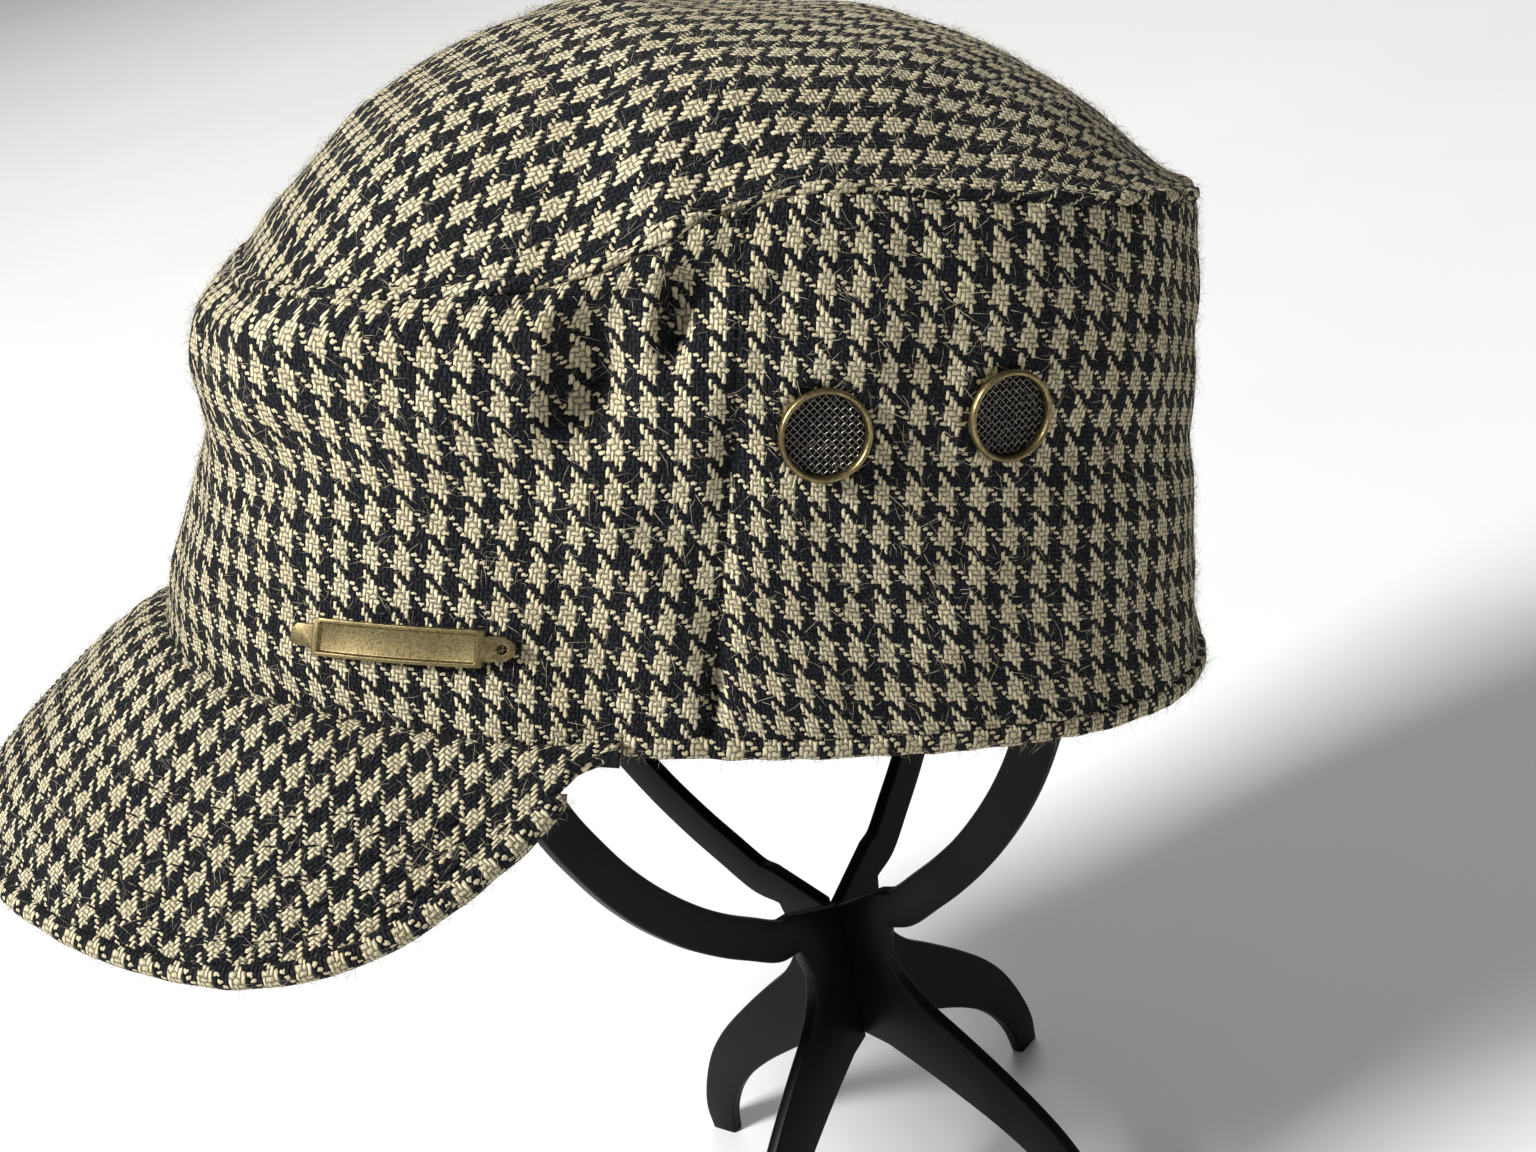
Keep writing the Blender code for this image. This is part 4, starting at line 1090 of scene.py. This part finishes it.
def hem():
    """The rolled strip along the rim, whose yarns go on from the band's."""
    first = peak_end() + 0.0008
    angle = np.linspace(first, 2 * pi - first, 460)
    angle[1:4] = first + np.array((0.0006, 0.0018, 0.004))
    angle[-4:-1] = 2 * pi - angle[1:4][::-1]
    out = outward(angle)
    up = np.zeros_like(out)
    up[:, 2] = 1
    x = arc_at(angle)
    centre = band_point(angle, 0) - out * (CLOTH / 2) + up * (HEM_HEIGHT / 2 - HEM_DROP)
    centre = centre + out * (0.00022 * ripples(x, 0, 0.009, 31))[:, None]
    centre = centre + up * (0.00018 * ripples(x, 0, 0.012, 32))[:, None]
    uneven = 0.07 * ripples(x, 0, 0.006, 33)
    wide = CLOTH + 2 * HEM_PROUD
    uv = x / WARP_PITCH + 3.0, lambda turn: 6.0 + 0.0021 * np.sin(turn) / WEFT_PITCH
    made = swept("hem_binding_cloth", centre, out, up, wide, HEM_HEIGHT, 20, uv, uneven)
    dress(made, HEM_FINISH, "hem_cloth", "hem_binding")
    lines = centre - up * 0.0019 + out * 0.0008, centre + out * 0.0015
    fuzz_on_strip(lines, (out - up, out), x / WARP_PITCH, 2)


def peak_edge():
    """The rolled edge of the peak, pulled in by its stitches."""
    place = np.linspace(-PEAK_EDGE_END, PEAK_EDGE_END, 300)
    tip, out, up = peak_edge_axes(place)
    run = travelled(tip)
    centre = tip - out * PEAK_EDGE_WIDTH / 2 - up * PEAK_THICKNESS / 2
    centre = centre + up * (0.00022 * ripples(run, 0, 0.010, 41))[:, None]
    uneven = 0.08 * ripples(run, 0, 0.008, 42)
    wide, tall = PEAK_EDGE_WIDTH * 1.04, PEAK_EDGE_THICKNESS * 1.04
    girth = 0.0118 / WEFT_PITCH
    uv = run / WARP_PITCH + 1.0, lambda turn: 6.0 + (turn / (2 * pi) - 0.15) * girth
    made = swept("peak_edge_binding_cloth", centre, out, up, wide, tall, 22, uv, uneven, 0.86)
    dress(made, HEM_FINISH, "hem_cloth", "peak_edge_binding")
    lines = centre + out * 0.0019 - up * 0.0009, centre + out * 0.0012 + up * 0.0018
    fuzz_on_strip(lines, (out - up * 0.4, out + up), run / WARP_PITCH, 3)


# ---------------------------------------------------------------------------------------------
# Thread and fuzz

def stitches(name, starts, ends, outs, radius):
    """Short bent threads, each diving into the cloth at both ends."""
    sides, rings = 5, 5
    turn = np.arange(sides) * 2 * pi / sides
    share = np.linspace(0, 1, rings)
    arch = np.array((-1.6, 0.35, 0.75, 0.35, -1.6)) * radius
    thin = np.array((0.55, 0.95, 1.0, 0.95, 0.55)) * radius
    side = unit(np.cross(outs, unit(ends - starts)))
    middle = starts[:, None] + (ends - starts)[:, None] * share[None, :, None]
    middle = middle + outs[:, None] * arch[None, :, None]
    ring = side[:, None] * np.cos(turn)[None, :, None] + outs[:, None] * np.sin(turn)[None, :, None]
    points = middle[:, :, None] + ring[:, None] * thin[None, :, None, None]
    size, last = rings * sides, (rings - 1) * sides
    one = []
    for low in range(0, last, sides):
        for s, n in zip(range(sides), (*range(1, sides), 0)):
            one.append((low + s, low + n, low + sides + n, low + sides + s))
    one += [tuple(reversed(range(sides))), tuple(range(last, size))]
    firsts = range(0, len(starts) * size, size)
    faces = [tuple(first + v for v in face) for first in firsts for face in one]
    mesh = bpy.data.meshes.new(name)
    mesh.from_pydata(points.reshape(-1, 3).tolist(), [], faces)
    mesh.update()
    made = placed(name, mesh)
    close(made)
    smooth(made)
    return made


def along_line(line, outs, long, gap):
    """Cuts a line into stitches of this length and gap: their starts, ends and outward ways."""
    line, outs = in_world(line), unit(outs @ CAP_TURN)
    run = travelled(line)
    dice = np.random.default_rng(int(run[-1] * 1e6))
    at = np.arange(0.001, run[-1] - long - 0.001, long + gap)
    at = at + dice.uniform(-0.0002, 0.0002, len(at))

    def pick(values, where):
        return np.stack([np.interp(where, run, values[:, k]) for k in range(3)], -1)

    return pick(line, at), pick(line, at + long), unit(pick(outs, at + long / 2))


def all_stitches(crown_data, peak_data):
    """The row along the crown's seam and the rows along the peak."""
    points, run, relief = crown_data
    out = face_out(points)
    row = int(np.argmin(np.abs(run[:, 0] - CROWN_STITCH_LINE)))
    line = points[row] + out[row] * (relief[row] + 0.00008)[:, None]
    parts = [along_line(line, out[row], CROWN_STITCH, CROWN_STITCH_GAP)]
    points, left, relief = peak_data
    out = face_out(points)
    skin = points + out * relief[..., None]

    def at_distance(values, distance, column):
        where, values = left[::-1, column], values[::-1, column]
        return [np.interp(distance, where, values[:, k]) for k in range(3)]

    for distance in PEAK_STITCH_LINES:
        columns = np.flatnonzero(left[1] >= distance + 0.016)
        line, outs = (
            np.array([at_distance(values, distance, column) for column in columns])
            for values in (skin, out)
        )
        parts.append(along_line(line + outs * 0.00020, outs, PEAK_STITCH, PEAK_STITCH_GAP))
    starts, ends, outs = (np.concatenate([part[k] for part in parts]) for k in range(3))
    made = stitches("stitch_rows", starts, ends, outs, THREAD_RADIUS)
    dress(made, THREAD_AND_SHADE_FINISH, "hem_cloth")


def cell_areas(skin):
    corner = skin[:-1, :-1]
    return length(np.cross(skin[1:, :-1] - corner, skin[:-1, 1:] - corner)).ravel()


def fuzz(name, count, seed, short, far):
    """Thin bent fibres standing out of the cloth, light or dark as the yarn they come from.

    They are short to short + far long. A narrow piece gets at least its small share of them.
    """
    dice = np.random.default_rng(seed)
    areas = np.array([cell_areas(skin).sum() for skin, _, _ in GROUND])
    share = np.maximum(areas / areas.sum(), 0.045)
    share = share / share.sum()
    roots, outs, kinds = [], [], []
    for (skin, out, uv), part in zip(GROUND, share):
        n = int(count * part)
        cell = cell_areas(skin)
        pick = dice.choice(len(cell), n, p=cell / cell.sum())
        row, column = np.divmod(pick, skin.shape[1] - 1)
        a, b = dice.random((2, n, 1))

        def at(values):
            low = values[row, column] * (1 - a) + values[row, column + 1] * a
            high = values[row + 1, column] * (1 - a) + values[row + 1, column + 1] * a
            return low * (1 - b) + high * b

        roots.append(at(skin))
        outs.append(unit(at(out)))
        yarn = np.floor(at(uv))
        k = np.mod(yarn.sum(1) + 1, 4)
        warp = np.mod(yarn[:, 0], 8) < 4
        weft = np.mod(yarn[:, 1], 8) < 4
        kinds.append(np.where(k < 2, warp, weft) * (dice.random(n) < 0.55))
    root, out, kind = np.concatenate(roots), np.concatenate(outs), np.concatenate(kinds)
    n = len(root)
    side = unit(np.cross(out, dice.normal(size=(n, 3))))
    other = np.cross(out, side)
    long = short + far * dice.random(n) ** 2
    lean = dice.uniform(0.5, 3.0, n)
    curl = dice.normal(0, 0.6, n)
    thick = dice.uniform(0.000022, 0.000038, n)

    def along_fibre(step):
        bent = out * (step - 0.12 * step**2 * lean)[:, None] + side * (lean * step)[:, None]
        return root + (bent + other * (curl * step**2)[:, None]) * long[:, None]

    points = []
    for spot, width in ((along_fibre(0.0) - out * 0.0001, 1.0), (along_fibre(0.5), 0.8)):
        for turn in (0, 2 * pi / 3, 4 * pi / 3):
            corner = side * cos(turn) * 0.7 + other * sin(turn) - out * cos(turn) * 0.5
            points.append(spot + corner * (thick * width)[:, None])
    points = np.stack(points + [along_fibre(1.0)], 1)
    corners = ((0, 1), (1, 2), (2, 0))
    faces = [(2, 1, 0)]
    for s, t in corners:
        faces += [(s, t, 3 + t), (s, 3 + t, 3 + s)]
    faces += [(3 + s, 3 + t, 6) for s, t in corners]
    triangles = (np.array(faces)[None] + (np.arange(n) * 7)[:, None, None]).reshape(-1, 3)
    mesh = bpy.data.meshes.new(name)
    mesh.from_pydata(points.reshape(-1, 3).tolist(), [], triangles.tolist())
    layer = mesh.uv_layers.new(name="weave")
    uv = np.repeat(kind, len(faces) * 3)
    layer.data.foreach_set("uv", np.stack((uv, 0 * uv + 0.5), -1).ravel())
    mesh.update()
    made = placed(name, mesh)
    smooth(made)
    dress(made, HAIR_FINISH, "houndstooth_cloth")


# ---------------------------------------------------------------------------------------------
# The vents

def vent_ring():
    """An eyelet: a rolled flange, a barrel through the cloth and a ledge for the wire."""
    outer = VENT_DIAMETER / 2
    inner = outer - VENT_FLANGE
    seat = vent_seat()
    low = -CLOTH - 2 * VENT_WALL
    half = VENT_FLANGE / 2
    section = [
        (outer - half + half * cos(t), seat + VENT_RISE * 0.35 + VENT_RISE * 0.65 * sin(t))
        for t in np.linspace(0, pi, 13)
    ]
    barrel = outer - VENT_BAND
    ledge, wall = barrel - VENT_LEDGE, barrel + VENT_WALL
    section += [
        (inner, seat - 0.0008), (ledge, seat - 0.0009), (ledge, low), (wall, low),
        (wall, seat - 0.0011), (outer - 0.0003, seat - 0.0002), (outer - 0.00005, seat + 0.0001),
    ]
    bpy.ops.mesh.primitive_circle_add(vertices=len(section), radius=0.001)
    made = bpy.context.object
    for vertex, (r, z) in zip(made.data.vertices, section):
        vertex.co = (r, 0, z)
    only(made)
    bpy.ops.object.mode_set(mode="EDIT")
    bpy.ops.mesh.select_all(action="SELECT")
    bpy.ops.mesh.spin(steps=72, angle=2 * pi, center=(0, 0, 0), axis=(0, 0, 1))
    bpy.ops.object.mode_set(mode="OBJECT")
    close(made)
    smooth(made, 50)
    return made


def vent_wires():
    """A plain weave of wavy wires, cut to a disc: each wire passes over one and under the next."""
    radius = VENT_DIAMETER / 2 - VENT_FLANGE - 0.00006
    parts = []
    count = int(radius / WIRE_PITCH)
    for way in (0, 1):
        for k in range(-count, count + 1):
            off = k * WIRE_PITCH
            half = (max(radius**2 - off**2, 0.0)) ** 0.5
            if half < 0.0012:
                continue
            steps = int(2 * half / (WIRE_PITCH / 4)) + 2
            along = np.linspace(-half, half, steps)
            start = 1 if (k + way) % 2 else -1
            wave = np.cos(along / WIRE_PITCH * pi) * start * WIRE_RADIUS * 1.02
            turn = np.linspace(0, 2 * pi, 7)
            ring = np.stack((0 * turn, np.cos(turn), np.sin(turn)), -1)
            r = WIRE_RADIUS * np.ones(steps)
            r[0] = r[-1] = 0
            line = np.stack((along, off + 0 * along, wave), -1)
            points = line[:, None] + r[:, None, None] * ring[None]
            if way:
                points = np.stack((-points[..., 1], points[..., 0], points[..., 2]), -1)
            parts.append(grid("wire", points, np.zeros(points.shape[:2] + (2,))))
    made = join("vent_screen_wires", parts)
    close(made)
    smooth(made)
    return made


def vent_shade_disc():
    """A dark disc of painted shade behind the wire, for the dark inside of the cap: a thin disc
    with a soft edge.
    """
    radius = VENT_DIAMETER / 2 - VENT_FLANGE - 0.00004
    bpy.ops.mesh.primitive_cylinder_add(vertices=48, radius=radius, depth=0.0003)
    made = bpy.context.object
    made.data.transform(Matrix.Translation((0, 0, vent_seat() - 0.00062)))
    only(made)
    bpy.ops.object.mode_set(mode="EDIT")
    bpy.ops.mesh.select_all(action="SELECT")
    bpy.ops.mesh.inset(thickness=0.0008)
    bpy.ops.object.mode_set(mode="OBJECT")
    rounded(made, 0.00012, 2, 40)
    smooth(made, 40)
    return made


def copy_of(made, name, place=Matrix()):
    """A copy of a piece with its own mesh, moved to its place."""
    copied = placed(name, made.data.copy())
    copied.data.name = name
    copied.data.transform(place)
    return copied


def vents():
    """A ring, a disc of wire and a dark disc of painted shade behind it, in each of the four holes.
    """
    ring, wires, back = vent_ring(), vent_wires(), vent_shade_disc()
    for number, axes in enumerate(vent_frames(), 1):
        place = CAP @ axes
        made = copy_of(ring, f"vent_ring_{number}_brass", place)
        dress(made, BRASS_FINISH, "antique_brass", f"vent_ring_{number}")
        turned = Matrix.Rotation(radians(45 + 3 * number), 4, "Z")
        raised = Matrix.Translation((0, 0, vent_seat() - 0.0002)) @ turned
        made = copy_of(wires, f"vent_screen_{number}_wires", place @ raised)
        dress(made, WIRE_FINISH, "screen_wire", f"vent_screen_{number}")
        made = copy_of(back, f"vent_shade_disc_{number}_cloth", place)
        dress(made, THREAD_AND_SHADE_FINISH, "hem_cloth")
    for made in (ring, wires, back):
        bpy.data.objects.remove(made)


# ---------------------------------------------------------------------------------------------
# The bare plate and the stand

def softened(node, name, width, finish, slot):
    """A copy of a hard solid with its edges rounded off."""
    made = copy_of(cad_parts[node], name)
    close(made, outside=False)
    only(made)
    bpy.ops.object.mode_set(mode="EDIT")
    bpy.ops.mesh.select_all(action="SELECT")
    bpy.ops.mesh.dissolve_limited(angle_limit=radians(1.0))
    bpy.ops.object.mode_set(mode="OBJECT")
    rounded(made, width, 3, 28)
    smooth(made, 35)
    dress(made, finish, slot, node)


def smooth_line(points, steps):
    """Catmull-Rom points through an open line, with this many steps on each stretch."""
    line = np.array(points, float)
    ends = np.concatenate(([line[0] * 2 - line[1]], line, [line[-1] * 2 - line[-2]]))
    out = []
    for a, b, c, d in zip(ends, ends[1:], ends[2:], ends[3:]):
        for k in range(steps):
            u = k / steps
            bend, twist = 2 * a - 5 * b + 4 * c - d, 3 * b - a - 3 * c + d
            out.append(0.5 * (2 * b + (c - a) * u + bend * u**2 + twist * u**3))
    return np.array(out + [line[-1]])


def stand_outlines(fine):
    """A plate's outer edge and the edge of its loop's opening, across and above the waist."""
    arms = smooth_line([(CAGE_RADIUS * r, CAGE_HEIGHT * h) for r, h in ARM_OUTLINE], fine)
    upper = smooth_line([(LEG_SPREAD * r, -LEG_HEIGHT * d) for r, d in LEG_UPPER], fine)
    lower = smooth_line([(LEG_SPREAD * r, -LEG_HEIGHT * d) for r, d in LEG_LOWER], fine)
    outer = np.concatenate((arms[::-1], upper, lower, [(0, -WAIST_HEIGHT)]))
    inner = []
    for before, here, after in zip(arms, arms[1:], arms[2:]):
        run = (after - before) / length(after - before)
        moved = here + np.array((-run[1], run[0])) * ARM_WIDTH
        if moved[0] > ARM_WIDTH * 0.9 and moved[1] > 0:
            inner.append(moved)
    inner = np.concatenate(([(0, 0)], inner, [(0, CAGE_HEIGHT - ARM_WIDTH)]))
    both = []
    for half in (outer, inner):
        left = half[::-1][np.abs(half[::-1, 0]) > 1e-6] * np.array((-1, 1))
        both.append(np.concatenate((half, left)))
    return both


def stand_plate(node, name, turn, upper):
    """One plate: its outline filled, given its thickness, slotted and its edges rounded."""
    low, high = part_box(node)
    axis = Vector(((low[0] + high[0]) / 2, (low[1] + high[1]) / 2, 0))
    loops = []
    for outline in stand_outlines(5):
        bpy.ops.mesh.primitive_circle_add(vertices=len(outline), radius=0.01)
        loop = bpy.context.object
        for vertex, (x, z) in zip(loop.data.vertices, outline):
            vertex.co = (x, 0, z + LEG_HEIGHT)
        loops.append(loop)
    made = join(name, loops)
    bpy.ops.object.mode_set(mode="EDIT")
    bpy.ops.mesh.select_all(action="SELECT")
    bpy.ops.mesh.fill(use_beauty=True)
    bpy.ops.mesh.normals_make_consistent(inside=False)
    bpy.ops.object.mode_set(mode="OBJECT")
    modify(made, "SOLIDIFY", thickness=STAND_THICKNESS, offset=0)
    close(made)
    stand_top = LEG_HEIGHT + CAGE_HEIGHT
    crossings = (LEG_HEIGHT - WAIST_HEIGHT, LEG_HEIGHT), (stand_top - ARM_WIDTH, stand_top)
    for bottom, top in crossings:
        middle = (bottom + top) / 2
        span = (bottom - STAND_THICKNESS, middle + GAP / 2)
        if upper:
            span = (middle - GAP / 2, top + STAND_THICKNESS)
        bpy.ops.mesh.primitive_cube_add(size=1)
        cutter = bpy.context.object
        size = (STAND_THICKNESS + 2 * GAP, STAND_THICKNESS * 4, span[1] - span[0], 1)
        cutter.data.transform(Matrix.Translation((0, 0, sum(span) / 2)) @ Matrix.Diagonal(size))
        modify(made, "BOOLEAN", operation="DIFFERENCE", object=cutter, solver="EXACT")
        bpy.data.objects.remove(cutter)
    rounded(made, STAND_EDGE, 3, 32)
    made.data.transform(Matrix.Translation(axis) @ Matrix.Rotation(turn, 4, "Z"))
    smooth(made, 30)
    dress(made, BLACK_FINISH, "satin_black", node)


# ---------------------------------------------------------------------------------------------
# The camera, the floor and the light

def camera():
    seen = bpy.data.cameras.new("camera")
    seen.lens = 54.07
    seen.sensor_width = 36
    seen.clip_start = 0.01
    made = placed("camera", seen)
    made.location = (0.4116, -0.1035, 0.3517)
    made.rotation_mode = "QUATERNION"
    made.rotation_quaternion = Quaternion((0.73623, 0.39777, 0.37117, 0.40245))
    bpy.context.scene.camera = made


# The lamps: name, place, size and power. All are aimed at the cap's middle.
LAMPS = (
    ("key", (0.25, -2.30, 2.40), 0.8, 186.0),
    ("fill", (2.20, 0.20, 1.40), 1.8, 4.0),
    ("rim", (-1.6, 0.9, 2.0), 1.4, 22.0),
)


def studio():
    bpy.context.scene.view_settings.view_transform = "Standard"
    bpy.ops.mesh.primitive_plane_add(size=16)
    floor = bpy.context.object
    floor.name = floor.data.name = "studio_floor"
    floor.data.materials.append(pale_floor())
    world = bpy.data.worlds.new("studio")
    bpy.context.scene.world = world
    world.use_nodes = True
    background = world.node_tree.nodes["Background"]
    background.inputs["Color"].default_value = (0.80, 0.82, 0.84, 1)
    background.inputs["Strength"].default_value = 0.18
    for name, place, size, power in LAMPS:
        light = bpy.data.lights.new(name, "AREA")
        light.size = size
        light.energy = power
        lamp = placed(name, light)
        lamp.location = place
        way = Vector((0, 0, 0.17)) - Vector(place)
        lamp.rotation_euler = way.to_track_quat("-Z", "Y").to_euler()


camera()
side_band()
crown_data = crown()
peak_data = peak_body()
hem()
peak_edge()
all_stitches(crown_data, peak_data)
seam_edges_painted_shade()
for name, count, seed, short, far in FUZZ:
    fuzz(name, count, seed, short, far)
vents()
softened("name_plate", "name_plate_brass", PLATE_EDGE, BRASS_FINISH, "antique_brass")
stand_plate("stand_plate_a", "stand_plate_a_black", STAND_TURN, True)
stand_plate("stand_plate_b", "stand_plate_b_black", STAND_TURN + pi / 2, False)
studio()
